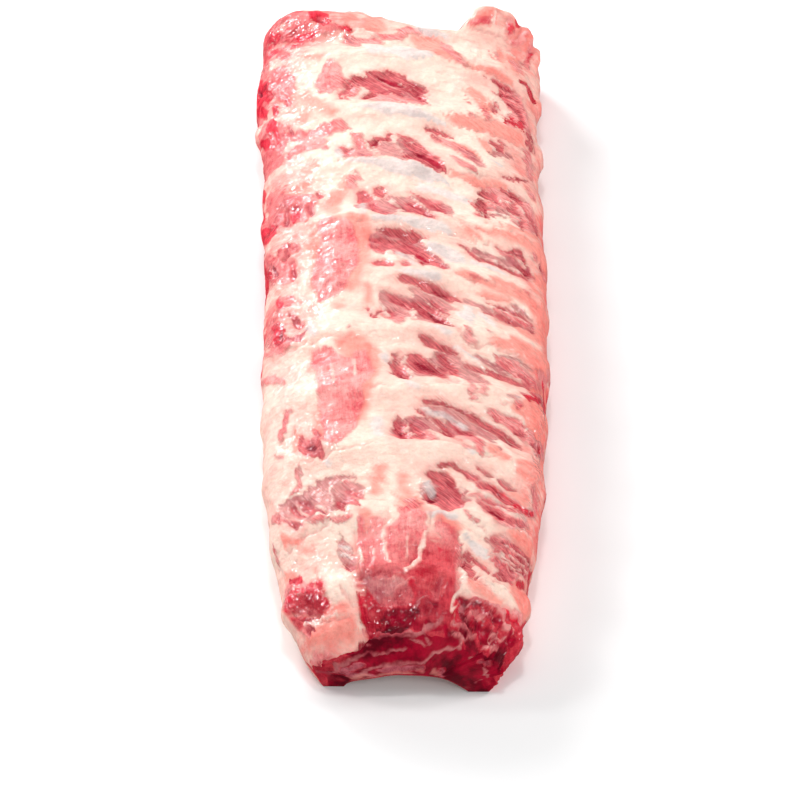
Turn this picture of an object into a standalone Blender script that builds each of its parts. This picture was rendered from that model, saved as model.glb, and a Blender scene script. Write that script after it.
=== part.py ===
"""A raw rack of pork ribs, lying bone side down: one arched slab of meat over eleven ribs.

The rack runs along Y, its narrow end at -Y, and its two long edges rest on z = 0. Under it is the open arch of
the rib cage. Lengths are in millimetres until the vertices are made, in metres.

The surface is a sheet of rows, which are stations along the rack, and columns, where t runs from -1 at the left
foot, over the crest at 0, to +1 at the right foot. The outer sheet and the under sheet share their columns, so
the two end faces and the flat feet close them into one solid.
"""

import math

import bmesh
import bpy
import numpy as np

MM = 0.001

# Plan and height: y, left edge, right edge, height of the crest, height of the hollow under it.
STATIONS = np.array(
    [
        (-202.0, -25.5, 35.0, 22.5, 6.0),
        (-190.0, -32.5, 40.5, 27.0, 8.5),
        (-165.0, -39.5, 45.5, 31.5, 11.0),
        (-125.0, -46.0, 51.5, 35.0, 13.5),
        (-60.0, -50.0, 55.3, 37.5, 15.0),
        (20.0, -51.5, 57.0, 38.5, 16.0),
        (100.0, -55.0, 55.5, 38.0, 16.0),
        (160.0, -59.0, 56.5, 36.5, 14.0),
        (203.0, -54.5, 57.0, 34.0, 11.0),
    ]
)
LEFT, RIGHT, CREST, HOLLOW = 1, 2, 3, 4

# Section across the rack.
WIDEST = 0.84  # t where the section is widest
WIDEST_HEIGHT = 0.36  # height of the widest point, as a share of the crest
TUCK = 4.0  # how far a side turns in again between its widest point and its foot
FOOT, NEAR_FOOT = 13.0, 7.0  # width of the flat foot along each long edge, and at the narrow end
LEAST_WALL = 6.0

# Ribs: where each crosses the crest, and how far it stands out above and below.
RIB_LINES = (178.0, 155.0, 111.0, 72.0, 33.0, -3.0, -38.0, -73.0, -108.0, -143.0, -176.0)
RIB_SWEEP, FAR_RIB_SWEEP = 2.0, 11.0  # how much further along +Y a rib lies at t = -0.6
RIB_HALF_WIDTH = 8.0
RIB_RISE, RIB_RISE_BELOW = 2.4, 2.4

# Ends: the narrow end is a straight cut, the wide end is stepped.
NEAR_END, FAR_END = -199.5, 201.0
NEAR_LEAN = 5.0  # how far the narrow end's face leans back at its top
FAR_CORNER = 9.0  # how far the wide end's left corner is cut back
FAR_STEP, FAR_NOTCH = 18.0, 6.0  # how far it is cut back right of the crest, and beyond the lobe
FAR_LEAN = 17.0  # how far it is cut back at the hollow
ROLL, ROLL_LENGTH = 3.0, 8.0  # how the crest edge rounds over at each end

# Mesh.
ROWS, COLUMNS, LAYERS = 76, 25, 2

MEAT_COLOUR = (0.74, 0.30, 0.28, 1.0)
MEAT_ROUGHNESS = 0.35


def smooth(value, start, end):
    """0 up to start and 1 from end on, with an S curve between them."""
    share = np.clip((value - start) / (end - start), 0.0, 1.0)
    return share * share * (3.0 - 2.0 * share)


def bump(value, centre, half_width):
    """A bell of height 1."""
    return np.exp(-(((value - centre) / half_width) ** 2))


def along(y, column):
    """A smooth curve along the rack, through one column of the stations."""
    at, value = STATIONS[:, 0], STATIONS[:, column]
    slope = np.gradient(value, at)
    i = np.clip(np.searchsorted(at, y) - 1, 0, len(at) - 2)
    gap = at[i + 1] - at[i]
    u = np.clip((y - at[i]) / gap, 0.0, 1.0)
    ease = u * u * (3.0 - 2.0 * u)
    bend = gap * u * (1.0 - u) * ((1.0 - u) * slope[i] - u * slope[i + 1])
    return value[i] + (value[i + 1] - value[i]) * ease + bend


# --- Plain sections: x and z at station y and share t --------------------------------------------------------


def outer_section(y, t):
    """A flattened dome on sides that turn in to the feet."""
    left, right, crest = along(y, LEFT), along(y, RIGHT), along(y, CREST)
    turn = np.clip(np.abs(t) / WIDEST, 0.0, 1.0) * math.pi / 2
    down = np.clip((np.abs(t) - WIDEST) / (1.0 - WIDEST), 0.0, 1.0)
    out = (right - left) / 2 * np.sin(turn) ** 0.95 - TUCK * down**1.5
    widest_z = WIDEST_HEIGHT * crest
    z = widest_z * (1.0 - down) + (crest - widest_z) * np.clip(np.cos(turn), 0.0, 1.0) ** 0.85
    return (left + right) / 2 + np.sign(t) * out, z


def under_section(y, t):
    """The hollow of the rib cage, between the inner edges of the two feet."""
    foot = FOOT + (NEAR_FOOT - FOOT) * smooth(y, -150.0, -198.0)
    left = outer_section(y, np.full_like(t, -1.0))[0] + foot
    right = outer_section(y, np.full_like(t, 1.0))[0] - foot
    arch = np.clip(1.0 - np.abs(t) ** 2.4, 0.0, 1.0) ** 0.8
    return (left + right) / 2 + (right - left) / 2 * t, along(y, HOLLOW) * arch


# --- Relief: how far the surface stands out from its plain section -------------------------------------------


def ribs(y, t):
    """1 on the line of a rib and near 0 half-way between two."""
    total = 0.0
    for line in RIB_LINES:
        sweep = RIB_SWEEP + (FAR_RIB_SWEEP - RIB_SWEEP) * smooth(line, -20.0, 110.0)
        total = total + bump(y, line + sweep * np.clip(-t, 0.0, 0.9) / 0.6, RIB_HALF_WIDTH)
    return total


def outer_relief(y, t):
    """Ribs, and the lumps of meat and fat between and over them."""
    rib = ribs(y, t) - 0.5
    bare = 1.0 - smooth(t, -0.3, -0.5) * smooth(y, -45.0, -20.0)  # left of this the meat hides the ribs
    relief = RIB_RISE * rib * (0.25 + 0.75 * bare) * (1.0 - 0.55 * smooth(np.abs(t), 0.5, 0.8))
    relief += 1.2 * bump(t, -0.26, 0.1) * smooth(y, -112.0, -98.0) * smooth(y, 48.0, 34.0)  # strip of lean
    relief += 1.6 * bump(t, 0.02, 0.22) * smooth(y, -136.0, -160.0)  # tongue of lean at the narrow end
    relief -= 2.4 * bump(t, -0.55, 0.14) * bump(y, -178.0, 12.0)  # trimmed off, left of the tongue
    relief += 11.5 * bump(t, 0.46, 0.17) * bump(y, 194.0, 11.0)  # lobe at the wide end
    relief += 6.0 * bump(t, -0.52, 0.26) * smooth(y, 172.0, 196.0)  # thick meat at the wide end's left
    relief += 1.5 * bump(t, 0.78, 0.12) * bump(y, 164.0, 7.0)  # scrap of meat on the right edge
    return relief * (1.0 - smooth(np.abs(t), 0.84, 0.98))


def under_relief(y, t):
    """Ribs stand out below as well, under a thin membrane."""
    return RIB_RISE_BELOW * (ribs(y, t) - 0.3) * (1.0 - smooth(np.abs(t), 0.55, 0.9))


def raised(section, relief, y, t):
    """The section's points, each moved out along the section's normal by the relief."""
    x, z = section(y, t)
    ahead_x, ahead_z = section(y, np.minimum(t + 0.004, 1.0))
    behind_x, behind_z = section(y, np.maximum(t - 0.004, -1.0))
    run, climb = ahead_x - behind_x, ahead_z - behind_z
    amount = relief(y, t) / np.maximum(np.hypot(run, climb), 1e-9)
    return x - climb * amount, z + run * amount


# --- Ends ----------------------------------------------------------------------------------------------------


def near_end(t, top):
    """y of the narrow end's face at t, on the outer sheet if top is 1 and the under sheet if 0."""
    return NEAR_END + 2.5 * smooth(t, -0.5, -1.0) + top * NEAR_LEAN * (1.0 - smooth(np.abs(t), 0.7, 1.0))


def far_end(t, top):
    """y of the wide end's face at t: the left half reaches furthest, then a step, the lobe and a notch."""
    step = FAR_STEP * (smooth(t, -0.2, 0.12) - 0.85 * smooth(t, 0.2, 0.42)) + FAR_NOTCH * smooth(t, 0.58, 0.75)
    return FAR_END - top * (step + FAR_CORNER * smooth(t, -0.72, -1.0)) - (1.0 - top) * FAR_LEAN


def rows(share, t, top):
    """y of a row's points: straight across in the middle, following the end faces near the ends."""
    near = smooth(share, 0.1, 0.0) * (near_end(t, top) - NEAR_END)
    far = smooth(share, 0.84, 1.0) * (far_end(t, top) - FAR_END)
    return NEAR_END + share * (FAR_END - NEAR_END) + near + far


# --- The solid -----------------------------------------------------------------------------------------------


def sheets():
    """The under sheet and the outer sheet, as arrays of points by row and column."""
    share = np.linspace(0.0, 1.0, ROWS + 1)[:, None]
    t = np.linspace(-1.0, 1.0, COLUMNS + 1)[None, :] + 0.0 * share
    under_y, outer_y = rows(share, t, 0.0), rows(share, t, 1.0)
    under_x, under_z = under_section(under_y, t)
    outer_x, outer_z = raised(outer_section, outer_relief, outer_y, t)
    under_z = np.maximum(under_z - under_relief(under_y, t), 0.6)
    from_end = np.minimum(outer_y - near_end(t, 1.0), far_end(t, 1.0) - outer_y)
    roll = ROLL * smooth(from_end, ROLL_LENGTH, 0.0) * (1.0 - smooth(np.abs(t), 0.7, 1.0))
    outer_z = np.maximum(outer_z - roll, under_z + LEAST_WALL * (1.0 - np.abs(t)))
    under_z[:, (0, -1)] = 0.0
    outer_z[:, (0, -1)] = 0.0
    return np.stack([under_x, under_y, under_z], -1), np.stack([outer_x, outer_y, outer_z], -1)


def slab():
    """The points between the two sheets form a block; its outside is the solid."""
    under, outer = sheets()
    low, high = outer.reshape(-1, 3).min(axis=0), outer.reshape(-1, 3).max(axis=0)
    origin = np.array([(low[0] + high[0]) / 2, (low[1] + high[1]) / 2, 0.0])
    bm = bmesh.new()
    corner = {}

    def at(row, column, layer):
        key = row, column, layer
        if key not in corner:
            point = under[row, column] + (outer[row, column] - under[row, column]) * layer / LAYERS
            corner[key] = bm.verts.new((point - origin) * MM)
        return corner[key]

    for row in range(ROWS):
        for column in range(COLUMNS):
            for layer in (0, LAYERS):
                square = ((0, 0), (0, 1), (1, 1), (1, 0))
                bm.faces.new([at(row + i, column + j, layer) for i, j in square])
    for layer in range(LAYERS):
        square = ((0, 0), (0, 1), (1, 1), (1, 0))
        for row in (0, ROWS):
            for column in range(COLUMNS):
                bm.faces.new([at(row, column + i, layer + j) for i, j in square])
        for column in (0, COLUMNS):
            for row in range(ROWS):
                bm.faces.new([at(row + i, column, layer + j) for i, j in square])
    bmesh.ops.recalc_face_normals(bm, faces=bm.faces)
    bmesh.ops.triangulate(bm, faces=bm.faces)
    return bm


def meat_material():
    material = bpy.data.materials.new("raw_meat")
    material.use_nodes = True
    surface = material.node_tree.nodes["Principled BSDF"]
    surface.inputs["Base Color"].default_value = MEAT_COLOUR
    surface.inputs["Roughness"].default_value = MEAT_ROUGHNESS
    surface.inputs["Metallic"].default_value = 0.0
    return material


def main():
    for old in list(bpy.data.objects):
        bpy.data.objects.remove(old, do_unlink=True)
    bm = slab()
    mesh = bpy.data.meshes.new("rack")
    bm.to_mesh(mesh)
    bm.free()
    mesh.materials.append(meat_material())
    bpy.context.scene.collection.objects.link(bpy.data.objects.new("rack", mesh))


main()
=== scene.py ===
"""Looks of a raw rack of pork ribs: fine relief, painted meat and fat, floor, light and camera.

The surface is a sheet. t runs across it, from -1 at the left foot over the crest at 0 to +1 at the right
foot, and y runs along it in millimetres, from the narrow cut end at -Y. Meat, windows between the ribs,
silverskin and strings of fat are laid on it as strokes. Lengths are in millimetres until the vertices are
made, in metres.
"""

import math

import bpy
import numpy as np
from mathutils import Euler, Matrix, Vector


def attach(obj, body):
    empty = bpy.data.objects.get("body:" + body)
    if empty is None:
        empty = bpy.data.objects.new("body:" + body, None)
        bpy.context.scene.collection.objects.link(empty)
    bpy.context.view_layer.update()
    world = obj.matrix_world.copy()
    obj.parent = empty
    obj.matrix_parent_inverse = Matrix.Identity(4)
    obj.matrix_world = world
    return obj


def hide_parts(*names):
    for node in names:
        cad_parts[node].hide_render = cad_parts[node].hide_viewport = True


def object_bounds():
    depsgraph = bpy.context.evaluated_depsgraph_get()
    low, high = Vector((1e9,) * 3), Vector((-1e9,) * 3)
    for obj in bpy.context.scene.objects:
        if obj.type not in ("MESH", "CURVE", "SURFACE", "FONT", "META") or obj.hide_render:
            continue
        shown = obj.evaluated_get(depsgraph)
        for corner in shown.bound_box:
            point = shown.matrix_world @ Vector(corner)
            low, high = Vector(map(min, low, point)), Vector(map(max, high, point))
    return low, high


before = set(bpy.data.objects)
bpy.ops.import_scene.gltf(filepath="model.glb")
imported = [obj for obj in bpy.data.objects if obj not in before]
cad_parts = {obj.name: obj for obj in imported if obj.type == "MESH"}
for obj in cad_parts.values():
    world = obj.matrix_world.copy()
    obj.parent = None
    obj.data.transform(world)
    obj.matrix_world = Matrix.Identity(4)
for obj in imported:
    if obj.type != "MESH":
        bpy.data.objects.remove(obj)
CAD_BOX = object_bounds()
MM = 0.001

# --- The rack's form, as the solid has it ----------------------------------------------------------------

# Plan and height: y, left edge, right edge, height of the crest, height of the hollow under it.
STATIONS = np.array(
    [
        (-202.0, -25.5, 35.0, 22.5, 6.0),
        (-190.0, -32.5, 40.5, 27.0, 8.5),
        (-165.0, -39.5, 45.5, 31.5, 11.0),
        (-125.0, -46.0, 51.5, 35.0, 13.5),
        (-60.0, -50.0, 55.3, 37.5, 15.0),
        (20.0, -51.5, 57.0, 38.5, 16.0),
        (100.0, -55.0, 55.5, 38.0, 16.0),
        (160.0, -59.0, 56.5, 36.5, 14.0),
        (203.0, -54.5, 57.0, 34.0, 11.0),
    ]
)
LEFT, RIGHT, CREST, HOLLOW = 1, 2, 3, 4
WIDEST, WIDEST_HEIGHT, TUCK = 0.84, 0.36, 4.0
FOOT, NEAR_FOOT, LEAST_WALL, LEAST_HOLLOW = 13.0, 7.0, 6.0, 0.6
RIB_LINES = (178.0, 155.0, 111.0, 72.0, 33.0, -3.0, -38.0, -73.0, -108.0, -143.0, -176.0)
RIB_SWEEP, FAR_RIB_SWEEP, RIB_HALF_WIDTH = 2.0, 11.0, 8.0
RIB_RISE = 2.4
# Lumps and scraps: t, y, half width in t, half length in mm, height in mm.
LUMPS = (
    (0.385, 190.0, 0.14, 9.5, 8.5),
    (0.57, 184.0, 0.05, 8.0, 6.5),
    (0.67, 177.0, 0.05, 8.0, 4.0),
    (0.8, 148.0, 0.07, 4.5, 2.4),
    (0.82, 112.0, 0.08, 6.0, 1.8),
    (-0.84, 152.0, 0.08, 7.0, 2.2),
    (-0.82, 126.0, 0.06, 4.5, 1.8),
    (-0.84, 58.0, 0.08, 9.0, 1.8),
    (-0.8, -176.0, 0.07, 5.0, 2.0),
    (0.8, -171.0, 0.08, 5.0, 1.8),
    (0.82, -188.0, 0.08, 4.5, 2.2),
)
NEAR_END, FAR_END, NEAR_LEAN = -199.5, 201.0, 5.0
LIP, RAGGED_LIP = 3.2, 2.4
FAR_CORNER, FAR_STEP, FAR_NOTCH, FAR_LEAN = 9.0, 18.0, 6.0, 17.0
ROLL, ROLL_LENGTH = 3.0, 8.0
ORIGIN = (-0.69, 0.75)  # the sheet's x and y at the frame's origin
STEP = 0.004  # of t, for the slope of a section

# Fine mesh: rows along the rack, columns over it and under it, layers up its end faces.
ROWS, COLUMNS, UNDER_COLUMNS, LAYERS = 380, 180, 40, 24
SPREAD = 88.0  # millimetres of surface for each 1 of t
CUT_SPREAD, CUT_RISE = 40.0, 16.0  # on the cut face: for 1 of t, and for the whole of its height


def smooth(value, start, end):
    """0 up to start and 1 from end on, with an S curve between them."""
    share = np.clip((value - start) / (end - start), 0.0, 1.0)
    return share * share * (3.0 - 2.0 * share)


def bump(value, centre, half_width):
    """A bell of height 1."""
    return np.exp(-(((value - centre) / half_width) ** 2))


def along(y, column):
    """A smooth curve along the rack, through one column of the stations."""
    at, value = STATIONS[:, 0], STATIONS[:, column]
    slope = np.gradient(value, at)
    i = np.clip(np.searchsorted(at, y) - 1, 0, len(at) - 2)
    gap = at[i + 1] - at[i]
    u = np.clip((y - at[i]) / gap, 0.0, 1.0)
    ease = u * u * (3.0 - 2.0 * u)
    bend = gap * u * (1.0 - u) * ((1.0 - u) * slope[i] - u * slope[i + 1])
    return value[i] + (value[i + 1] - value[i]) * ease + bend


def outer_section(y, t):
    """A flattened dome on sides that turn in to the feet."""
    left, right, crest = along(y, LEFT), along(y, RIGHT), along(y, CREST)
    turn = np.clip(np.abs(t) / WIDEST, 0.0, 1.0) * math.pi / 2
    down = np.clip((np.abs(t) - WIDEST) / (1.0 - WIDEST), 0.0, 1.0)
    out = (right - left) / 2 * np.sin(turn) ** 0.95 - TUCK * down**1.5
    widest_z = WIDEST_HEIGHT * crest
    z = widest_z * (1.0 - down) + (crest - widest_z) * np.clip(np.cos(turn), 0.0, 1.0) ** 0.85
    return (left + right) / 2 + np.sign(t) * out, z


def under_section(y, t):
    """The hollow of the rib cage, between the inner edges of the two feet."""
    foot = FOOT + (NEAR_FOOT - FOOT) * smooth(y, -150.0, -198.0)
    left = outer_section(y, np.full_like(t, -1.0))[0] + foot
    right = outer_section(y, np.full_like(t, 1.0))[0] - foot
    arch = np.clip(1.0 - np.abs(t) ** 2.4, 0.0, 1.0) ** 0.8
    return (left + right) / 2 + (right - left) / 2 * t, along(y, HOLLOW) * arch


def ribs(y, t):
    """1 on the line of a rib and near 0 half-way between two."""
    total = 0.0
    for line in RIB_LINES:
        sweep = RIB_SWEEP + (FAR_RIB_SWEEP - RIB_SWEEP) * smooth(line, -20.0, 110.0)
        total = total + bump(y, line + sweep * np.clip(-t, 0.0, 0.9) / 0.6, RIB_HALF_WIDTH)
    return total


def outer_relief(y, t):
    """Ribs, and the lumps of meat and fat between and over them."""
    rib = ribs(y, t) - 0.5
    bare = 1.0 - smooth(t, -0.3, -0.5) * smooth(y, -45.0, -20.0)  # left of this the meat hides the ribs
    relief = RIB_RISE * rib * (0.25 + 0.75 * bare) * (1.0 - 0.55 * smooth(np.abs(t), 0.5, 0.8))
    relief += 1.2 * bump(t, -0.26, 0.1) * smooth(y, -112.0, -98.0) * smooth(y, 48.0, 34.0)  # strip of lean
    relief += 1.6 * bump(t, 0.02, 0.22) * smooth(y, -136.0, -160.0)  # tongue of lean at the narrow end
    relief -= 2.4 * bump(t, -0.55, 0.14) * bump(y, -178.0, 12.0)  # oval trimmed off, left of the tongue
    for centre, at, wide, long, high in LUMPS:
        relief += high * np.exp(-(((t - centre) / wide) ** 4)) * bump(y, at, long)
    relief += 6.0 * bump(t, -0.52, 0.26) * smooth(y, 172.0, 196.0)  # thick meat at the wide end's left
    relief += 1.5 * bump(t, 0.78, 0.12) * bump(y, 164.0, 7.0)  # scrap of meat on the right edge
    return relief * (1.0 - smooth(np.abs(t), 0.84, 0.98))


def under_relief(y, t):
    """Ribs stand out below as well, under a thin membrane."""
    return RIB_RISE * (ribs(y, t) - 0.3) * (1.0 - smooth(np.abs(t), 0.55, 0.9))


def raised(section, amount, y, t):
    """The section's points, each moved out along the section's normal by an amount."""
    x, z = section(y, t)
    ahead_x, ahead_z = section(y, np.minimum(t + STEP, 1.0))
    behind_x, behind_z = section(y, np.maximum(t - STEP, -1.0))
    run, climb = ahead_x - behind_x, ahead_z - behind_z
    share = amount / np.maximum(np.hypot(run, climb), 1e-9)
    return x - climb * share, z + run * share


def lip(t):
    """Where the fat hangs over the left of the cut face."""
    return smooth(t, -0.86, -0.7) * smooth(t, -0.18, -0.3)


def near_end(t, top):
    """y of the narrow end's face at t, on the outer sheet if top is 1 and the under sheet if 0."""
    lean = NEAR_LEAN - LIP * lip(t) - RAGGED_LIP * smooth(t, 0.22, 0.34)
    return NEAR_END + 2.5 * smooth(t, -0.5, -1.0) + top * lean * (1.0 - smooth(np.abs(t), 0.7, 1.0))


def far_end(t, top):
    """y of the wide end's face at t: the left half reaches furthest, then a step, the lobe and a notch."""
    step = FAR_STEP * (smooth(t, -0.2, 0.12) - 0.85 * smooth(t, 0.21, 0.29))
    step = step + FAR_NOTCH * smooth(t, 0.58, 0.75)
    return FAR_END - top * (step + FAR_CORNER * smooth(t, -0.72, -1.0)) - (1.0 - top) * FAR_LEAN


def rows(share, t, top):
    """y of a row's points: straight across in the middle, following the end faces near the ends."""
    near = smooth(share, 0.1, 0.0) * (near_end(t, top) - NEAR_END)
    far = smooth(share, 0.84, 1.0) * (far_end(t, top) - FAR_END)
    return NEAR_END + share * (FAR_END - NEAR_END) + near + far


# --- What lies on the sheet ------------------------------------------------------------------------------


def strokes(text, y_parts=1.0):
    """Strokes from their text. Semicolons part the strokes, and commas their points. A point is t in
    hundredths, y, and the half width in mm, where it differs from the last point's."""
    runs = []
    for run in text.split(";"):
        points, width = [], None
        for point in run.split(","):
            t, y, *width_here = map(float, point.split())
            width = width_here[0] if width_here else width
            points.append((t / 100.0, y / y_parts, width))
        runs.append(points)
    return runs


# Strokes run from the wide end to the narrow end, with y in mm. Salmon, lean and red are meat, dark and deep
# the meat in the windows, mauve and silver membrane over it, pale and string are strings of fat, crease is
# folds, sunk a little and painted darker pink as the shade in them, and wet is where it shines.

SALMON = strokes("""
-10 193 3, -10 178 3.6; -20 190 3, -19 182 2; 10 168 5, 14 160, 20 154 4; 36 190 3, 30 183 4; 42 170 1.6,
43 160 2.6; 50 166 3, 53 158 4; 56 184 2.4, 60 178; 25 151 1.6, 50 147 2.2; -38 132 3, -34 122 4,
-42 114 3; -30 118 3, -25 112 2; -38 160 2, -30 158; 20 107 3, 30 106 4, 42 106 4.5, 53 105; 32 96 2,
36 90; 22 66 2.4, 30 64 3, 42 66 1.8; -35 78 3, -42 72; -20 64 3, -24 56 3.4, -29 48, -27 40 2.4; -40 35 2,
-25 33; 21 28 1.6, 25 26 2.6; 30 29 1.6, 42 30 3, 55 31 4, 70 32 6; 40 36 1.4, 55 38 2, 66 40 3; 66 12 5,
78 20 7, 80 34 8; -19 26 1.4, -22 31 1; 20 -3 1.4, 28 -5 2.6, 42 -7 3, 56 -6 3.4; -25 -22 2.4; -14 -10 1.6,
-13 -20 1.4; 50 -28 2.4, 65 -26 4; 70 -6 7, 70 -20 6; 30 -12 2, 42 -11 1; 35 -41 3, 46 -39 4.6, 60 -40 6,
72 -38 7; 80 -30 7, 85 -10 8; 48 -76 4.6, 58 -74 7, 70 -72 8; 62 -83 5, 72 -86; 78 -97 7, 68 -104 4,
50 -108 2; 34 -104 3.6, 40 -108 3; -46 -90 1.6, -46 -102 2; -9 -118 2, -10 -132; -2 -122 1.4, 0 -138 2;
50 -112 2, 62 -112; 60 -122 2, 50 -124 1.4; -60 -146 3, -50 -148 2; -50 -154 2, -42 -153 1; 62 -170 4,
75 -172 6; 30 -175 3, 40 -178 2.4, 50 -180 1.6; -70 -191 1.6, -50 -191 3.4, -30 -192 3.6; -46 -186 2,
-30 -185; -70 -160 3, -60 -162 2; 70 -145 4, 50 -146 1.6; 60 3 3, 72 2 4; 28 181 2.6, 36 184 3; 57 70 2,
62 68 3; 20 90 2, 25 86 3, 28 79 2.6; -6 172 1.6, 2 173 2.4; -15 -143 2, -12 -150 3; 14 -146 2.4,
20 -150 3; 2 -136 3, 4 -144 4; -36 -48 3, -38 -60 2; -20 -46 5, -15 -52 6, -14 -62 5, -16 -76 4, -17 -90 3;
-33 -84 3, -33 -98 2; -18 32 4, -16 24 5, -18 8 4, -20 -8; -36 30 3, -36 10, -36 -6; -52 62 4, -40 66 3;
30 132 3, 36 122 4, 34 112 3; -46 134 3, -44 124 2; 34 -2 2, 60 -8 4; 62 -60 6, 76 -56
""")

LEAN = strokes("""
-62 190 3, -50 193 4, -40 190, -42 184; -50 182 4, -42 178 4.4, -33 180 3, -23 181 2, -21 178 1.4;
-20 172 2.4, -15 168 4.2, -9 168 2.6; -9 173 1.4, -3 171 2.6, 4 174; -56 172 2, -48 167 3; 50 178 2.4,
54 180 2; 60 182 1.6, 61 168 2.4; 17 166 1.2, 20 157 1.8, 25 151 1; 52 164 3, 54 158 2.4; 40 167 0.9,
41 160 0.8; -80 190 9, -76 165 12, -74 140 11; -55 155 6, -52 147 8, -50 140 6; -48 135 2, -47 128;
-57 132 2, -57 125 1.6; -70 118 8, -62 112 9, -60 103 8; -78 100 9, -70 94 8, -58 92 5; -50 106 3,
-40 103 4.4, -32 102, -24 105 3.2, -21 102 2; -35 95 5, -46 92 3; -30 90 2; -25 153 1.6, -25 146 4.6,
-26 139 6, -27 134 4; -15 139 1.8, -16.5 130, -19 122 1.4; -9 122 3, -2 121 3.6, 3 118 3; 3 127 3.6,
6 121 3.2, 8.5 116 1.6; 40 144 1.4, 48 141 3, 55 138 4; 43 136 2, 52 133 5, 58 128 6, 60 119 5; 40 128 1.6,
38.5 120 1.4; 47 118 3, 46 112 2.4; 33.5 120 1.4, 33.5 112 1.8; 27 112 1, 28 110; 26 128 0.7, 27 122 0.9;
62 100 3, 64 92 3.4, 66 84 1.8; 12 95 1.4, 18 90 1.8, 22 86 1.2; 19 79 1.5, 23 74 2, 27 70 1.4; -17 95 2,
-15.5 89 2.4, -14 83 1.6; -20 80 2, -14 78 2.6, -11 77 1.6; 3 84 3, 5 79; -70 70 5, -62 62 6, -52 56,
-42 54; -70 54 6, -50 48 7, -44 44 4; -18 65 2, -19 59 2.2; 34 62 2, 40 58 5, 50 56 7.4, 56 53 6; 58 60 3,
66 52 5; 36 51 3, 50 48 4, 60 45; 27 48 1.4, 28 40 1.6; 45 43 1, 54 41 1.6; -3 45 2.6, 1 42 4, 5 38 3.6,
8 34 1.6; 6 51 1.6, 11 46 3.2, 14 40 2.2; -13 47 2, -10 41 2.8, -6 36 1.6; -78 30 6, -68 22 8, -58 16 7,
-52 8 5; -56 28 4, -48 24 3; -30 32 4, -25 26 6, -27 16 8.4, -27 5 9, -29 -6 7.4, -30 -14 3.6; -8 17 5,
-3 12 2; 0 17 2.6, 5 11 3.6, 9 5 3.2, 13 0 1.2; 40 18 1.6, 48 18 4.4, 56 16 4, 61 14 1.6; 68 24 2, 75 22 3;
30 -3 0.7, 26 -5 0.8; 52 -3 0.8, 56 -4 0.7; -4 -28 3.8, -2 -33 3; 3 -30 2, 5 -34 1.4; -60 -4 2.4, -56 -8 4,
-50 -9 3; -66 -18 3, -60 -30 5, -52 -37 4.6; -76 -29 1, -68 -35 1.4, -55 -39 1.8; 38 -20.5 1.6, 48 -21 2.6,
60 -20 2; 22 -37 1, 24 -43 1.8, 27 -44.5 0.8; 31 -37 1; 36 -51 2.4, 45 -53 3.8, 56 -54 4.2, 64 -54 2.6;
36 -49 1, 50 -49.5 2; 78 -40 3, 72 -48; -36 -47 1.6, -32 -52 5, -26 -60 8, -25 -70 7.6, -24 -80 8.6,
-24 -90 7.2, -26 -99 5, -27 -106 1.6; -16 -53 2.4, -15 -62 3.6, -16 -70 2.6; -48 -77 0.9, -52 -83 2.2,
-57 -88 2.4; -60 -99 0.6, -52 -105 1; -87 -40 1.4, -75 -47 2.2, -62 -52 2.6, -54 -57 1; 24 -68 1.2,
25 -77 1.4; 30 -66 1, 29 -74 1.4; 44 -72 1, 48 -76 1.6; 34 -82.5 1.4, 42 -84.5 3.4, 50 -87 4.6, 55 -90 3;
58 -86 3, 66 -92 4, 76 -88; 3 -90 1, 6 -95 2.8, 8 -102 2.4; 22 -100 1.4, 27 -101 2.6, 28 -108 1.4;
20 -105 0.8, 24 -107 1; -44 -113 1.1, -47 -118 1.6, -52 -122 1; -70 -130 2.4, -63 -132 3; -22 -125 2.2,
-20 -131 4, -20 -137; -42 -141 1, -35 -144 1.4, -28 -145 1.6, -21 -144 1; 24 -119 1, 30 -124 1.8,
38 -126 2.6, 50 -129 2.8, 66 -127 2; 30 -130 1, 40 -132.5 2.4, 52 -132 2.6, 60 -131 1.6; 28 -131 0.9,
36 -138 3, 50 -138 4, 62 -135 3; 62 -115 1, 68 -118 2.6, 70 -125 3.4; 26 -142 0.7, 28 -145 1; 40 -141 2.6,
50 -143 2; -75 -150 1.6, -72 -143 1; 3 -139 2.4, 3 -147 4.4, 1 -156 8, 0 -166 13, 1 -176 16, 0 -190 17;
-10 -148 2, -11 -156 5; -16 -147 1.8, -17 -158 2.4, -17 -172 2.6; 14 -150 2.4, 19 -153 3.4, 19 -165 4,
20 -178; 40 -150 1.4, 50 -152 3.4, 60 -154 5.4, 75 -154 4; 44 -160 2, 52 -162 3.4, 62 -160 3; -72 -166 2,
-58 -166 3, -53 -169 2; -72 -182 2.6, -66 -187; -80 -196 2, -50 -199; 28 -186 4, 42 -188 7, 58 -188 8,
75 -186 7; 55 -181 1.4, 75 -180 3; 27 181 1.6, 34 182 2; 44 187 1.4, 45 181 1.6; 58 69 1.6, 62 68 2;
52 -67 1.6, 60 -64 3.6, 68 -60 2.6; 66 -46 3, 72 -51 4; 22 88 1.4, 26 82 2.2, 30 76 1.4; 60 26 2;
44 138 2.6, 50 133 4.6, 55 126 5, 56 118 4.6, 48 115 3
""")

# The mauve strokes on the tongue just below its fold, at y -178 to -180, are membrane with a painted sheen:
# their greyish mauve stands for light reflected off the wet meat there.
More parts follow.
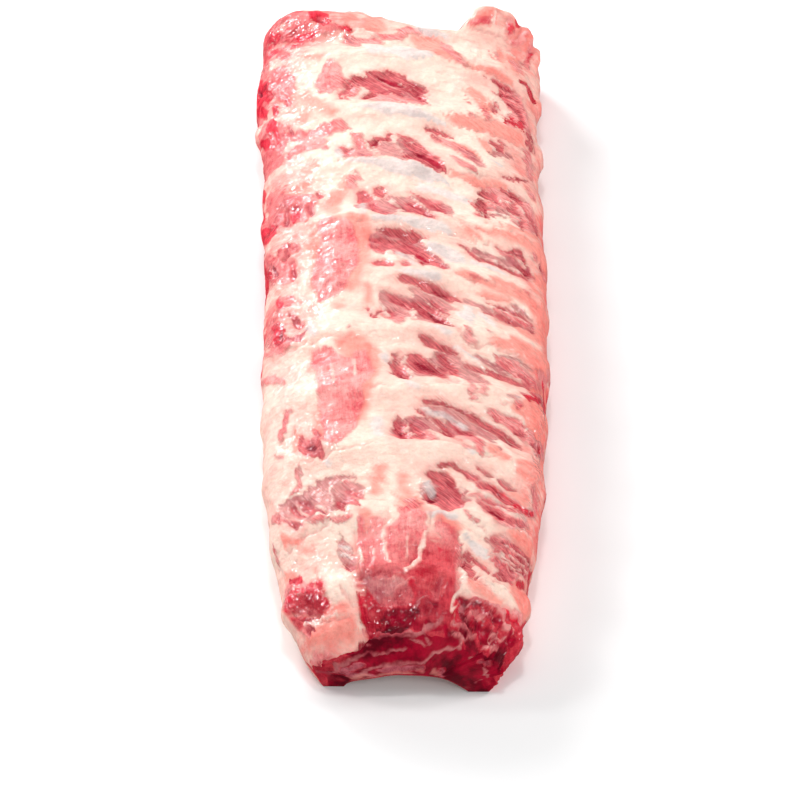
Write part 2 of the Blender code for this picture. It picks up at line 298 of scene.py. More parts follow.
MAUVE = strokes("""
-11 138 2.4, -8 134 4, -5 130 3; -20 171 1.4, -15 170 2; -6 86 3, -2 82 5, 0 78 4.4; 37 89 2, 48 91 2.4;
-24 86 1, -20 79 2.4, -14 78 1.6; -15 44 2, -13 39 1.8; 16 42 2, 17 37 1.6; 28 16 1.8, 34 14 2.8,
41 13 2.2; -10 19 2.4, -9 15 3; 3 -14 1.4, 8 -18 2.6, 13 -21 2.2, 17 -26 2; -6 -16 2, -3 -20 2.6;
42 -13.5 0.8, 50 -14 1.3, 58 -15 0.9; 22 -16.5 1.2, 28 -19 1.6, 34 -21 1.2; 10 -50 1.2, 15 -54 3.4,
20 -60 4.6, 25 -65 3; 40 -47 0.9, 50 -46 1.4, 58 -48 0.9; 27 -51 1.3, 35 -54 2, 42 -56 1.6; 26 -61 2,
29 -64 1.6; 41 -71 1, 46 -70 1.2; 8 -84 1.2, 15 -86 2, 22 -90 2.6, 30 -95 3, 35 -98 2.4; 37 -103 1.2;
-62 -126 1.2, -52 -127 3.4, -43 -129 7, -35 -130 9.4, -28 -131 7.4; -30 -121 2, -20 -121 1.4; 22 -127 1.6,
25 -133 1.2; 40 -119 1, 48 -121 1.4; -26 -154 1.8, -25 -159 3.4, -24 -165 3; 36 -151 0.8, 40 -153 1.4;
-17 -178 2, -10 -180 5.6, -4 -180 4; 28 -184 1.8, 27 -187 1.4; -20 -38 1; -12 137 3, -4 136 6, 3 130 5.4,
8 121 3; -19 83 3, -10 81 4, 0 83 6, 8 76 5, 14 69 2; -13 44 5, -5 44 7, 5 43 6, 13 42 4; -8 21 5, 0 16 6,
8 6 4, 13 0 2; -5 -19 4, 3 -26 7, 10 -31 4; 0 -61 5, 10 -60 6, 18 -60 5, 26 -65 2; 0 -96 5, 8 -93 4,
16 -95, 24 -97 2; 12 -129 7, 18 -134 4; -58 -129 3, -50 -131 6, -40 -132 9, -30 -131, -20 -130 5; 33 44 4,
42 48 3; 45 16 3, 55 16 4; 24 86 1.6, 29 80 2, 31 74 1.6; -17 -178.6 1.6, -8 -180 3
""")

RED = strokes("""
-36 194 2.4, -33 188 4, -30 184 2.6; -62 186 2.4, -56 184 2.6; -45 177 1.8, -36 179; -23 181 1.6, -21 179;
50 189 2; 56 151 1.6, 62 150 2, 70 147 3; 66 186 2.4, 78 194 5; -86 172 4, -77 158 6, -70 146 5; -76 140 4,
-66 132 3; -57 131 1.8, -57 126 1.6; -76 116 3, -66 108; 52 120 1.4, 50 114 2.8; 46 116 1.3, 44 112 1.4;
58 120 1.8, 57 112; -86 90 3, -78 78; -80 52 4, -70 46 6, -63 44 4; -46 50 3, -47 43 2; 4 84 1, 5 80 1.6;
-72 20 2, -68 16; -60 -20 2.2, -57 -27 4, -55 -34 3; -60 -5 1.4, -56 -9 2; 64 -92 2, 70 -91; 36 -125 1.4,
44 -127.5 2, 52 -129 1.8, 66 -127 1.4; -15 -186 3, 0 -187 8, 14 -188 5; -70 -170 2.4, -60 -174 5,
-50 -178 4.4, -41 -181 2; -65 -164 1.4, -56 -165.5 2.4; 26 -188 3, 40 -190 6, 56 -191 7, 72 -189;
50 -184 1.6, 62 -184 3, 78 -184; 30 -196 4, 50 -197 5, 70 -197; 20 -186 2, 20 -196 3; 86 -182 7, 86 -197 9;
-90 -197 5; -62 120 4, -60 108 3; -66 150 5, -60 140 3; 66 -164 2, 74 -163; 24 -184 2, 30 -196 4; -84 30 6,
-78 12; -88 -20 5, -80 -34 4; -90 176 5, -82 188 4; 20 -178 1.4, 19 -186 1.6; 46 185 1.2, 45 181 1;
-2 -187 2, 8 -185 2.4, 16 -184 2; -69 -173 3, -57 -176 6, -47 -179.6 4; -92 126 2.4, -90 90 2; -90 56 3,
-92 22 2; 86 136 1.4, 85 112 2; 84 36 1.4, 86 16 1.8; 85 -24 1.2, 86 -56 2; 84 -98 2, 85 -124 1.4;
-22 -182 0.8, -21.5 -190 1.8, -17 -194.6 3, 0 -196 4, 14 -195 3; -69 -179 2, -60 -181.4 3, -47 -183 1.6;
-82 70 2, -78 62; 72 -50 2, 76 -60 3, 72 -66 1.6; 53 -69 1.2, 60 -65.4 2.4, 68 -62 2; 81 -152 1.6,
84 -165 2.4; 61 175 1, 62 171 0.9
""")

# The thin dark stroke across the tongue at y -175, from t -0.19 to -0.02, is painted shade under its fold.
DARK = strokes("""
-33 188 1.2, -31 185 2, -30 183.5 1.2; 58 185 1.2, 66 187 2; 48 185 0.8; -49 168 1; 57 151 1, 64 149.6 1.4;
-10 140 2.4, -5 137 5.6, -3 131 6; 0 139 2, 2 132 4; -12 134 2, -10 136 3; 5 131 2.6, 7 127, 8.5 121 1.4;
-5 128 1.6, -10 126 2.2, -13 123 1.5; -18.5 137 1.6, -20 130 1.5, -22.5 123 0.9; -72 133 0.9, -66 128;
38 144 0.7, 46 142.5 1.1, 53 142; 42 136 0.7, 50 138 1.5, 56 137; 50 131 1.3, 57 128 1.7, 60 121 1.5;
40 126 0.9, 38.5 120; 68 121 1, 65 113 2.2, 62 107 1.5; 67.5 107 2.2; -48 134 1.2, -47 130; -50 112 1,
-47 107; -63 113 2, -62 108 1.6; 10 99 1.5, 15 98 1.6, 18 97 0.7; 38 96 1.5, 43 95 1.7, 41 92 0.9;
42 99 0.7, 46 97 0.5; -2 95 0.8, -5 91.5 1.5, -10 90 1.8, -10 87 1.4; -22.5 88 0.7, -20 84 1.4, -18 80 0.9;
1 93 1.2, 4 89 2.2, 6 84 1.8, 7.5 80 2.8; 3 76 2.2, 7 77 4, 10 75 4.4, 13 71 3, 15 68 1.1; 62 80 0.7,
56 75 1.1, 50 72.5, 42 71.5 0.7; -17 91 0.9, -15.5 86 0.8; -16 54 1.8, -15 50 2.6; -8.5 56.4 1.6,
-8.5 53 2.2; 5 52 1.2, 8 49.5 1.6; -50 92 1, -48 88; 12 94.5 0.6, 15 92.6; 42 63.5 1.3, 47 63.6 2,
53 61 1.4; 32 58 2.2, 36 57 3.4, 38 55 2.2; 46 52 1.8, 53 51 2.2; 58 56 1.8, 64 54 2.2, 66 49 2; 31 50 3.2,
33 46 3.6, 31 41 1.6; 56 47 1, 53 42 1.3, 50 39 0.8; 70 50 1.6, 68 46 1.4; -53 52 1.6, -53 45 2,
-51 41.5 1; -39 50 1.6, -38 44 1.4; -36 59 1.3, -34 56; -46 52 2.4; -12 46 1.2, -10 41 1.8, -6 36 1.2,
-3 33 0.6; 0 46 1, 4 41 1.8, 7 36 1.4, 9 33 0.7; 7 49 1.4, 11 45 2, 14 39.5 1.2; -2 43 0.8, 1 39 1.2;
-9 27 0.9, -4 25 2.1, 2 22 2.2, 6 20.5 1; -12 22 1.2, -6 20 2.4; -11 17 1.4, -6 16 2.6; -2 18 2.4, 3 14 3,
7 9 2.4, 10 4 1.8, 13 0 0.8; 2 11 0.7, 4.5 6 1.5, 6.5 0.5 1.2; -11 5 1.2, -8 3 2.6, -5 1 1.8; 0 4 0.8,
1 -0.5 0.9; 20 19 0.6, 24 16 1.1, 28 11 1.3, 36 10.4, 46 10 1.7, 55 9.5 1.4; 38 20 0.8, 44 22.5 1.3,
52 23 1.8, 56 21 1.1; 48 16 1.4, 54 15 2.6, 59 16 1.4; 67 25 1.2, 72 24 1.6; -52 28 0.8, -54 22 1.6;
-50 16 1.6, -51 9 2.2, -49 5 1.4; -35 20 1, -34 18; 0 -9 1.5, 5 -11 1.9, 10 -13 2.4, 15 -16 1.9,
20 -18 0.9; 10 -20 0.7, 13 -24 1.3, 17 -29 0.6; -6 -15 0.9, -3 -18.5 1.8, 0 -21 1.4; 2 -21 1.5, 6 -24 3.2,
9 -28, 12 -33 2.1, 15 -37 0.7; -14 -24 0.7, -11 -30 1; -8 -23 0.7, -10 -27 0.8; -5 -25 1, -4 -29 1.6;
34 -17 0.9, 42 -17.5 1.8, 52 -17.5 1.9, 60 -18 0.9; 30 -22 0.9, 38 -23.5 1.6, 46 -24.5 1.5, 55 -23 1.1,
62 -22 0.7; -50 -17 1, -46 -23 2.4, -43 -28 1.6; -50 -34 1.3, -44 -36 2.4, -39 -34 1.3; 4 -43 1.1,
9 -46 1.5, 14 -49 1.3, 20 -52 0.9; -2 -54 0.6, -3 -60 1.8, -2 -65 2.6, 0 -68 0.9; 3 -53 1.4, 4 -57 3.4,
7 -60 3.8, 11 -62, 14 -65 2.2, 16 -67 0.9; 11 -51 0.9, 14 -56 1.8, 18 -61 1.6; 22 -56 0.9, 30 -58.5 1.2,
40 -59 1.7, 50 -60 1.9, 57 -58 1.2; 50 -54 1, 58 -55 1.4; 8 -81 1.4, 14 -82, 20 -84.5 0.9, 26 -87 1.3,
33 -91 1.6, 40 -94 2.2, 46 -96 2.5, 52 -97 1.3; 48 -90 1.1, 53 -88 1.5; 36 -84 0.8, 40 -86 1; 5 -86 0.7,
9 -89 1.1, 13 -93 1.7, 17 -98 2.3, 19 -101 1.6; 12 -87 0.7, 18 -91 1.4, 23 -96 1.6, 26 -99 0.9; -2 -90 0.9,
-2 -95 2.6, -1 -101 2.3; 3 -93 0.8, 4.5 -100 1.8; 62 -92 1.4, 66 -90.5 2.2, 70 -91 0.9; -36 -93 0.9,
-34 -97 1.6; -43 -95 1.4, -41 -99 3.4, -37 -103 4.8, -34 -107 2.8; -52 -130 1.6, -46 -134 2.8,
-38 -137 2.4, -32 -139 1.2; -26 -136 1.8, -23 -139; -46 -128 1.4, -40 -132 1.6; -59 -134 0.7, -55 -138 1.2,
-50 -141 1.7, -46 -142 0.9; -22 -128 1, -19 -132 1.4; -64 -131 1.2; 9 -119.5 2.1, 13 -122 2.8, 16 -125.5;
11 -130 4, 13 -132 5.6, 17 -134 6, 19 -137 3.6, 15 -138.5 3; 17 -127 2, 20 -131; 12 -116 0.6, 17 -115 0.9,
20 -117, 24 -119 1.1, 28 -122 0.9; 30 -117 0.6, 35 -119 0.7; 41 -119.6 0.8, 45 -121.4 1, 50 -120.6 0.6;
30 -124 0.8, 36 -125 1.4, 44 -127.6 1.5, 50 -128.8 1.4; 32 -131 0.6, 40 -132 1, 48 -131.6 0.8; 30 -133 0.8,
35 -137 1.6, 41 -139.5 2.6, 46 -140.5 1.3; 26 -161 1.8, 27 -165 3.8, 29 -169 2.3; 31 -162 0.9, 35 -164 1.3,
40 -166.5 0.8; 44 -167.6 0.7, 50 -166.5 1.6, 56 -164.5 1.8, 60 -165.6 0.7; -27 -166 0.9, -23 -168 1.7,
-20 -168.6 0.9; -65 -187 1.7, -58 -188; -66 -178 1.6, -50 -182; 15 -176 1, 13 -182 1.6; -10 -185 2,
0 -184 3; -72 -199 1.6, -50 -202 1.8; 6 -160 0.6, 3 -170 0.8; -15 -160 0.5, -15 -172 0.8; -10 4.6 2,
-7 3 2.6; 10 -136 3, 20 -136.6 3.4; 27 -161 2.4, 28 -166 4, 30 -170 2.2; -12 138 1.6, -7 140.6 2, 0 139.6;
-13 138.6 2.6, -8 142 2.2, -2 141.6, 2 139 2; 40 -151 0.9, 60 -149.5 1.4, 76 -150 1.2; 42 -153 1.1,
60 -152.6 1.4, 74 -152.6 1.3; 44 -156 1.2, 58 -157 2, 72 -156 1.8; 46 -161 2, 54 -163 3, 60 -161 2;
-19 -175.4 0.9, -10 -174.8 1.1, -2 -174 0.8; 33 -135 1.2, 40 -138.5 2.6, 48 -140 2.2; 48 -137 1.4,
55 -138 2, 62 -135 1.6
""")

# The small deep stroke at y -174.4 on the tongue is painted shade in its fold.
DEEP = strokes("""
-31 185.6 0.9; -5 139 1.4, 0 134 1.6; 6 129 1.1, 8 124 0.8; -9 126 0.9, -12 124; 6.5 82 0.8, 8 78 1.6,
12 73, 14.5 69 0.6; -6 91 0.7, -10 89 0.9; 48 63.6 0.7; 34 48 1.2, 33 44 1; -53 48 0.7, -53 43 0.8;
-38 47 0.6; 55 15 1, 58 16 0.7; 6 40 0.6, 8 36; -51 12 0.8, -50 7; 5 8 0.6, 6 2; 4 12 1, 7 8 0.9;
9 -26 0.9, 12 -32 1.3, 14 -35 0.5; 10 -13 0.6, 14 -15.5 0.7; 44 -24.3 0.6; -56 -24 1, -55 -30 1.4;
-3 -62 0.9, -1 -66; 45 -96 1, 42 -94.6 0.9; 18 -98 1, 19 -100 0.7; -2 -96 0.8, -1 -101; 10 -130 1.4,
9 -134 1.2; 42 -139.6 1.6, 38 -138 1; -52 -140.6 0.7; 26 -163 0.9, 27 -167 1.6; 54 -165 0.8;
-10 -174.4 0.5; 20 -193 2, 24 -196 3, 30 -199 2; 36 -190 1.8, 46 -192.4 2.6, 56 -192 1.8; 27 -188 1.2,
30 -191 1.4; 58 -196 2.6, 70 -196 3; 66 -189 1.4, 76 -190 2; -62 -188 0.9; -44 -201 1.6, 20 -201;
48 -185 0.7, 56 -187 0.9; 35 -185 0.7; 42 -198 2; -84 100 1.6, -80 92; -90 140 2, -84 128 1.6; -86 50 1.6,
-80 40 1.4; 30 -193 2.4, 40 -198 2; 62 -193 2, 74 -197; -66 22 1.2, -62 14; -76 156 1.4, -70 148;
13 -186 1.4; 24 -183 1, 32 -183.6 1.4, 38 -184 0.8; 44 -184.6 0.9, 47 -186; -13 -190.6 0.8, -4 -189.6 1.8,
5 -189 1; -15 -194 1, -5 -193.4 2, 2 -191.6 1.4, 6 -193 1; 10 -192.6 1.4, 16 -193.4 0.8; -64 -182.6 0.6,
-54 -183.6 0.8; -30 -198.6 1, -24 -197.4 1.2; 5 -58 0.9, 8 -60.5 1.2, 12 -62.5 1; -40 -100.5 1,
-37 -103 1.8, -35 -105.5 1
""")

SILVER = strokes("""
7 177 1.8, 11 173 3.2, 16 172 1.6; -10 160 2.4, -2 158.6 5, 5 155 4.4, 11 152 2; -12 112 2, -5 112 4,
3 108.6 4.4, 10 105.4 2.4, 15 104 1; -19 74 1.6, -8 72 3.2, 2 68 4.2, 10 64 3.8, 15 61.6 1.6; 5 58 1.6,
15 54 2.4, 24 50 1.6; -24 86 1.4, -23.5 79; -15 35.6 1, -16 46 1.6; -10 33 1.4, 0 30.6 2.8, 10 28 3,
16 25.4 1.6; 12 15 3.4, 17 9 3.6, 20 3 2; 40 5 1.6, 25 7 1.4; -1 11 1.2, 2 5 0.9, 3.5 0 0.7; 0 -5 1.4,
10 -7 2.4; 23 -22 1.8, 24 -33 2.2; 30 -26 1.6, 34 -31; 11 -39 1.4, 15 -42; 19 -49 0.9, 27 -53 1;
-7 -53 1.4, -6 -58 1; 8 -86.4 0.7, 16 -88.6 0.9, 24 -93 1.2; -10 -90 1.6, -9 -100 1.8; 2 -74 1.4, 5 -76 1;
7 -123 1, 8 -128 2.2, 10 -131 0.8; -31 -112 1.2, -30 -114 0.8; 27 -153 1.8, 33 -157 2.8, 38 -159.6 2;
10 -144 1.6, 20 -145 2; -27 -156 0.8, -24 -158 0.9; -27 -161 0.7, -23 -163; -38 -32 2, -35 -38 1.6;
46 -70 0.8; 24 -109 1.2; 34 84 0.8, 40 80 1.4
""")

PALE = strokes("""
33 124 0.6, 38 128 0.8, 43 133 0.6; 43 113 0.5, 46 119 1.1, 50 125 0.8; -20 177 0.5, -12 175 0.6,
-7 170 0.5; 36 190 0.6, 37 181 1; 28 155 0.8, 32 165 1; 0 138 0.25, 3 130 0.3; -9 86 0.3, -8 78 0.7;
-13 90 0.6, -11 80 0.7, -8 74 0.9; -2 88 0.3, 1 80; 4 92 0.3, 1 86; 28 43 0.6, 34 45.4, 42 45.6 0.8,
50 45 0.7; 38 54 0.5, 46 57 0.6, 50 58 0.4; 43 50 0.4, 55 47; 52 56 0.8, 56 54 0.6; 30 53 0.4, 38 50.6;
-5 48 0.9, -2 42 0.7, -2 36 0.6; 3 48 0.8, 8 42, 10 36 0.7; -6 12.6 1.6, -5 8, -3 3 1; 1.5 12 0.4,
3.5 6 0.5, 5.5 0; 44 20 0.5, 50 19 0.8, 53 18 0.5; 30 13 0.4, 40 12 0.5, 50 11.6 0.4; -10 -18 0.6,
-7 -24 0.8, -6 -30; 1 -22 0.5, 3 -28 0.9, 2 -34 1.2; 34 -19.6 0.5, 45 -19.4 0.6, 56 -19.8 0.5; 5 -12.6 0.3,
10 -16 0.4; 1 -55 0.4, 1 -62 0.6, 3 -67 0.8; 8 -55 0.3, 12 -59 0.4; 20 -50.4 0.7, 25 -54 0.9, 31 -57 0.7;
32 -53 0.3, 42 -55.6, 50 -57 0.4; 36 -80 0.6, 46 -80 0.8, 53 -83, 56 -88 0.6; 24 -85.4 0.4, 34 -88.6 0.6,
42 -91.4 0.5; 7 -87.6 0.3, 10 -91 0.4, 14 -97 0.5; 10 -87 0.3, 15 -92 0.4; 1 -92 0.3, 1.5 -99 0.5;
9 -97 0.6, 11 -102 1; -27 -58 0.5, -26 -70 0.6; -18 -56 0.4, -18 -66 0.5; 20 -122 0.5, 21.5 -126 1,
21 -129 0.5; -50 -128 0.4, -44 -136 0.6, -41 -139 0.5; -38 -132 0.4, -34 -136 0.6, -30 -140 0.7;
-29 -124 0.4, -29 -136 0.6; 34 -129.5 0.5, 45 -130.4 0.6, 56 -130.4 0.5; 34 -133.6 0.4, 44 -134.6 0.7,
54 -134.4, 62 -132.4 0.5; 30 -127 0.5, 26 -124 0.6; -7.5 -152 0.45, -7 -160 0.5, -5.5 -170 0.45;
9 -154 0.6, 7 -162 0.8, 5 -169 0.9, 1 -174 0.6; -12 -160 0.3, -12 -168 0.35; 2 -145 0.25, 0 -170 0.3;
45 -151.4 0.25, 60 -151 0.35, 75 -151 0.25; 42 -154.4 0.25, 58 -154.6 0.4, 75 -154 0.3; 42 -156.4 0.25,
56 -156.8 0.4, 70 -156.4 0.3; 43 -158.4 0.25, 56 -158.8 0.4, 68 -159 0.3; 27 -172 1, 26 -178 0.9, 23 -184,
21 -187 0.6; -19 -160 0.7, -18 -170 0.8; -66 -184 0.6, -50 -185 1, -36 -187 0.7; -27 -157.4 0.3,
-21 -159.6 0.4; -28 -160.6 0.3, -21 -163 0.4; 42 169.4 0.5, 50 170 0.7; 20 128 0.8, 24 140 1
""")

STRING = strokes("""
29 -184.6 0.6, 32 -182 0.7, 36 -182.6 0.6; 46 -185 0.5, 51 -188.6 0.7; 22 -190 0.5, 27 -192 0.6,
34 -193 0.5; 50 -190.6 0.5, 62 -191.6 0.6; 38 -184 0.5, 37 -188 0.6; 64 -184.6 0.6, 70 -188; 20 -196.6 0.4,
30 -197 0.5; -10 -183.6 0.3, -2 -181 0.4, 4 -178 0.3; -62 -171.6 0.4, -52 -174.6; 45 -196.6 0.4,
55 -195 0.5; 6 -186 0.25, 10 -184.6 0.35; -16 -176 0.4, -4 -176 0.5; -25 -194.4 0.5, -14 -195 0.7,
-5 -195.6, 5 -195, 12 -193 0.6, 17 -190.6 0.5; 29 -189.6 0.8, 34 -187.2 1.2, 40 -186.6 1.1, 44 -185 0.8;
41 -182 0.8, 48 -182.4 1.1, 56 -184.4 1.2, 62 -188 1; 50 -193 0.6, 60 -194.6 0.7; 24 -194 0.6, 30 -195 0.5,
38 -193.6
""")

# Folds in the fat. Their darker pink is painted shade in the folds.
CREASE_SHADE = strokes("""
-62 181 0.6, -50 176, -44 175 0.5; -30 176 0.5, -20 177.6, -10 176 0.4; 26 178 0.6, 38 177.4, 44 178.6;
44 177 0.5, 54 175.4; 2 166 0.4, 10 158, 20 151.6 0.5; 26 150.4 0.5, 40 147 0.4, 52 145.4 0.5; -60 163 0.5,
-46 160, -34 159 0.4; -60 126 0.5, -50 122, -40 119 0.4; -20 118 0.4, -8 117.6 0.5, 2 116 0.4; 16 112 0.4,
30 110 0.5, 42 110 0.4; 20 103 0.4, 40 102 0.5, 58 101; -50 84 0.5, -35 81 0.4; -25 76 0.5, -8 74.6;
17 68.4 0.5, 28 67.6, 40 69.6 0.4; 16 66 0.5, 28 62, 34 64 0.4, 42 65.4; -60 40 0.5, -40 41 0.4; 19 31 0.5,
28 29 0.6, 36 30.6 0.4; 30 35 0.4, 42 34 0.5, 56 34.6; -20 32 0.5, -10 31 0.4; 16 25 0.4, 26 22 0.5,
38 24 0.4; -40 -16 0.4, -34 -20; 18 -3 0.5, 26 -7 0.6, 34 -4.4 0.5, 50 -3.6 0.4; -60 1 0.5, -45 0 0.4;
30 -13 0.4, 42 -11; 36 -26.4 0.4, 50 -27 0.5; 18 -38 0.5, 24 -46, 30 -45.4, 34 -42; 36 -44.6 0.5, 50 -44,
62 -45.6; -60 -41 0.4, -40 -42 0.5, -20 -43 0.4; 0 -70 0.5, 10 -70, 20 -69 0.4; 30 -79.6 0.5, 24 -79;
34 -76 0.4, 46 -73.6 0.5; -15 -74 0.5, -5 -73 0.4; -60 -91 0.5, -48 -90 0.4, -44 -106; 10 -104.6 0.5,
20 -104, 30 -110 0.6, 40 -104 0.5; -40 -110.4 0.5, -28 -110, -10 -106 0.4; 42 -100 0.5, 60 -104;
-50 -146 0.5, -40 -148 0.4, -30 -147; 5 -142.4 0.5, 18 -142; 30 -147 0.4, 44 -147.6 0.5, 70 -147;
-62 -150 0.5, -50 -152 0.4; 28 -172.6 0.6, 40 -174 0.5; 30 -178.6 0.7, 42 -180.4, 60 -179.6 0.6;
42 -170 0.5, 56 -170.4; -30 -176 0.4, -26 -186 0.5; -74 -178 0.6, -44 -184.4; -60 -183.6 0.5, -40 -188.6,
-30 -189; -42 -163 0.4, -44 -172 0.5, -38 -180 0.4; 23 -152 0.5, 23 -170 0.6, 24 -176 0.5; -20 -150 0.5,
-20 -160 0.6, -20 -174; 36 -149 0.5, 50 -147.6; -5 -141 0.4, -7 -150 0.5; 9 -142 0.4, 10 -150 0.5
""")

WET = strokes("""
-50 187 5, -40 181, -30 177 4, -20 175 3; -45 147 6, -43 140 5; -35 149 4; -48 130 5, -45 124, -58 125 4;
-56 128 3; -52 66 5, -38 61 6, -30 64 4; -60 56 5, -50 54, -42 50; -55 41 3; -56 31 3, -46 28 5, -37 24 7;
-48 8 4; -27 12 6, -24 0 7, -30 -14; -62 -15 5, -50 -16 6, -40 -20; -66 -28 5, -48 -30 6, -36 -24 5;
-46 -36 4; -30 -58 4, -27 -70 5, -20 -62 4; -26 -94 4, -27 -106; -46 -92 3, -56 -96; -60 -58 4, -47 -56 5;
2 -122 3, 4 -131; 16 -129 1.6; -62 -174 7, -50 -179 6, -40 -183 4; -18 -162 2, -18 -178 3.6; -4 -182 3;
-6 -192 5, 9 -188, 15 -191 4; 24 -193 3, 35 -191 5, 44 -195, 52 -188 4, 62 -190 5, 70 -194 4; 55 -141 4;
50 -175 3, 30 -174; -60 -158 4; -56 -197 3; -74 170 4, -62 168 3; 0 170 2.6; 36 186 3, 46 182; 60 176 3;
40 -88 2; 70 -60 4, 60 -138; -40 -186 3, -60 -186; 0 -174 2; -62 150 5, -55 140 4; -66 112 4, -55 98;
-72 50 4, -60 46; -70 22 5, -60 8 4; -70 -26 4; -28 30 4, -30 20 5; -66 182 4, -56 190; -46 -142 1.2;
-26 -122 1.2; -50 89 3, -44 86 4; -58 104 4, -42 103, -28 101 3; -62 -180 4; 30 -184 3, 40 -186 4;
50 -190 5, 40 -196 4; -68 -173 7, -48 -178; 32 -189 7, 50 -191; -12 -191 7, 10 -190 6; -50 64 7, -40 62;
-56 -22 7, -46 -20
""")

# The cut face at the narrow end. Here the share of its height, in hundredths, stands for y.
# On the cut face the crease layer's colours draw a pale rim of fat. There they are the fat's own colour, not
# shade.
CUT_RIM = strokes("""
-92 3 0.5, -60 2 0.7, -30 5 0.9, 0 3 0.7, 14 1 0.3; -80 14 1, -68 20 1.4, -55 20 1; 29 24 0.6, 33 16 1.2,
44 8 1; 20 12 0.4, 10 17 0.3
""", 100.0)

CUT_STRING = strokes("""
-24 102 0.5, -14 98, -6 94 0.6, 0 92, 6 97, 12 104 0.5; -87 90 0.5, -83 61 0.8, -74 63, -60 71, -50 74 0.7,
-40 73 0.5, -33 78, -27 82, -24 70 0.4, -20 64, -10 61 0.5, -2 60 0.4; -75 30 0.6, -60 25 0.9, -50 30 0.8,
-40 37 0.6, -30 38, -20 30, -10 30 0.5, 5 33 0.4, 15 35 0.6, 17 45, 18 60 0.5, 23 63, 27 80 0.4, 30 96;
2 84 0.4, 10 76 0.3; -22 96 0.3, -21 86 0.2; 10 90 0.3, 14 80 0.2; 62 80 0.4, 72 72 0.6, 80 66 0.4;
42 96 0.4, 46 78 0.3; 82 50 0.5, 86 44 0.3
""", 100.0)

CUT_DEEP = strokes("""
-36 96 0.8, -26 94 1.2; -22 80 1.2, -14 78 1.8, -5 76 1.4; 10 88 1, 18 86 1.4; 22 94 1, 29 92 0.8;
-22 54 1, -14 50 1.4, -4 48 1.2, 2 50 0.8; 22 50 1, 30 42 1.4; 8 58 1, 13 68 0.8; 45 50 2.4, 60 30 2.6;
50 20 2; 78 36 1.4, 80 20 1
""", 100.0)

CUT_MAUVE = strokes("""
-78 48 1.2, -60 54 1.6, -42 56 1.4; -34 20 1.2, -20 18 1.6, 0 18 1.2, 16 20 1; -50 12 1, -70 40 1.4;
55 85 1, 62 92; 36 30 1, 50 8 0.8
""", 100.0)

LAYS = {
    "salmon": SALMON,
    "lean": LEAN,
    "mauve": MAUVE,
    "red": RED,
    "dark": DARK,
    "deep": DEEP,
    "silver": SILVER,
    "pale": PALE,
    "string": STRING,
    "crease_shade_and_cut_rim": CREASE_SHADE,
    "wet": WET,
}
CUT_LAYS = {"crease_shade_and_cut_rim": CUT_RIM, "string": CUT_STRING, "deep": CUT_DEEP, "mauve": CUT_MAUVE}
FIELDS = ("blush", "peach", "lengthwise", "stripes", "granular")
NAMES = (*LAYS, *FIELDS)
ATTRIBUTES = {"layers_a": 0, "layers_b": 4, "layers_c": 8, "layers_d": 12}  # four of NAMES each, from this
MOST_DEPTH = 6.0  # the mesh holds depths from -6 mm, outside a layer, to 6 mm, inside it
FAR_OUTSIDE = 12.0
NOISE_CELLS = 128  # before the noise repeats
CUT_BLUSH = 1.8  # the cut faces are bloody all over

# How the layers stand over the solid's surface: height in mm, and the depths between which it is reached.
STANDS = (
    ("dark", -1.0, -1.4, 1.4),
    ("mauve", -0.5, -1.4, 1.2),
    ("deep", -0.8, -1.0, 1.6),
    ("crease_shade_and_cut_rim", -0.7, -0.9, 0.4),
    ("silver", 0.4, -2.0, 2.0),
    ("pale", 0.5, -0.7, 0.4),
    ("string", 0.9, -0.8, 0.5),
)
# How they are lumpy: height in mm, the depths between which it is reached, squeeze across, and the noise's
# size, seed and octaves.
LUMPY = (
    ("lean", 0.2, -1.5, 1.5, 1.0, 3.0, 61, 2),
    ("wet", 0.7, -2.0, 3.0, 0.6, 4.0, 71, 2),
    ("wet", 1.0, 3.0, 6.0, 0.8, 2.8, 73, 1),
)
# Patches of the sheet: pairs of t and pairs of y, each from where a side begins to where it is full.
PATCHES = {
    "strip": (((-0.44, -0.38), (-0.08, -0.13)), ((62.0, 50.0), (-116.0, -108.0))),
    "tongue": (((-0.24, -0.2), (0.24, 0.2)), ((-140.0, -146.0),)),
    "tongue_tip": ((), ((-146.0, -168.0),)),
    "tongue_end": ((), ((-166.0, -188.0),)),
    "fold": (((-0.22, -0.18), (0.02, -0.03)), ((-177.0, -174.5), (-160.0, -172.0))),
    "oval": (((-0.78, -0.7), (-0.36, -0.42)), ((-168.0, -174.0), (-186.0, -183.0))),
    "ragged_end": (((0.16, 0.26),), ((-178.0, -186.0),)),
    "ragged_blush": (((0.2, 0.26),), ((-180.0, -184.0),)),
    "near_right": (((0.2, 0.26),), ((-174.0, -182.0),)),
    "near_left": (((-0.25, -0.32),), ((-160.0, -166.0),)),
    "near_peach": ((), ((-176.0, -192.0),)),
    "far_left": (((-0.2, -0.3),), ((70.0, 100.0),)),
    "far_corner": (((0.1, -0.2),), ((168.0, 186.0),)),
    "far_right": (((0.2, 0.26),), ((168.0, 174.0),)),
    "far_peach": ((), ((160.0, 185.0),)),
    "left": (((-0.38, -0.5),), ((-112.0, -40.0),)),
    "left_foot": (((-0.7, -0.9),), ((-60.0, -30.0),)),
    "right_foot": (((0.74, 0.92),), ((-150.0, -60.0),)),
}


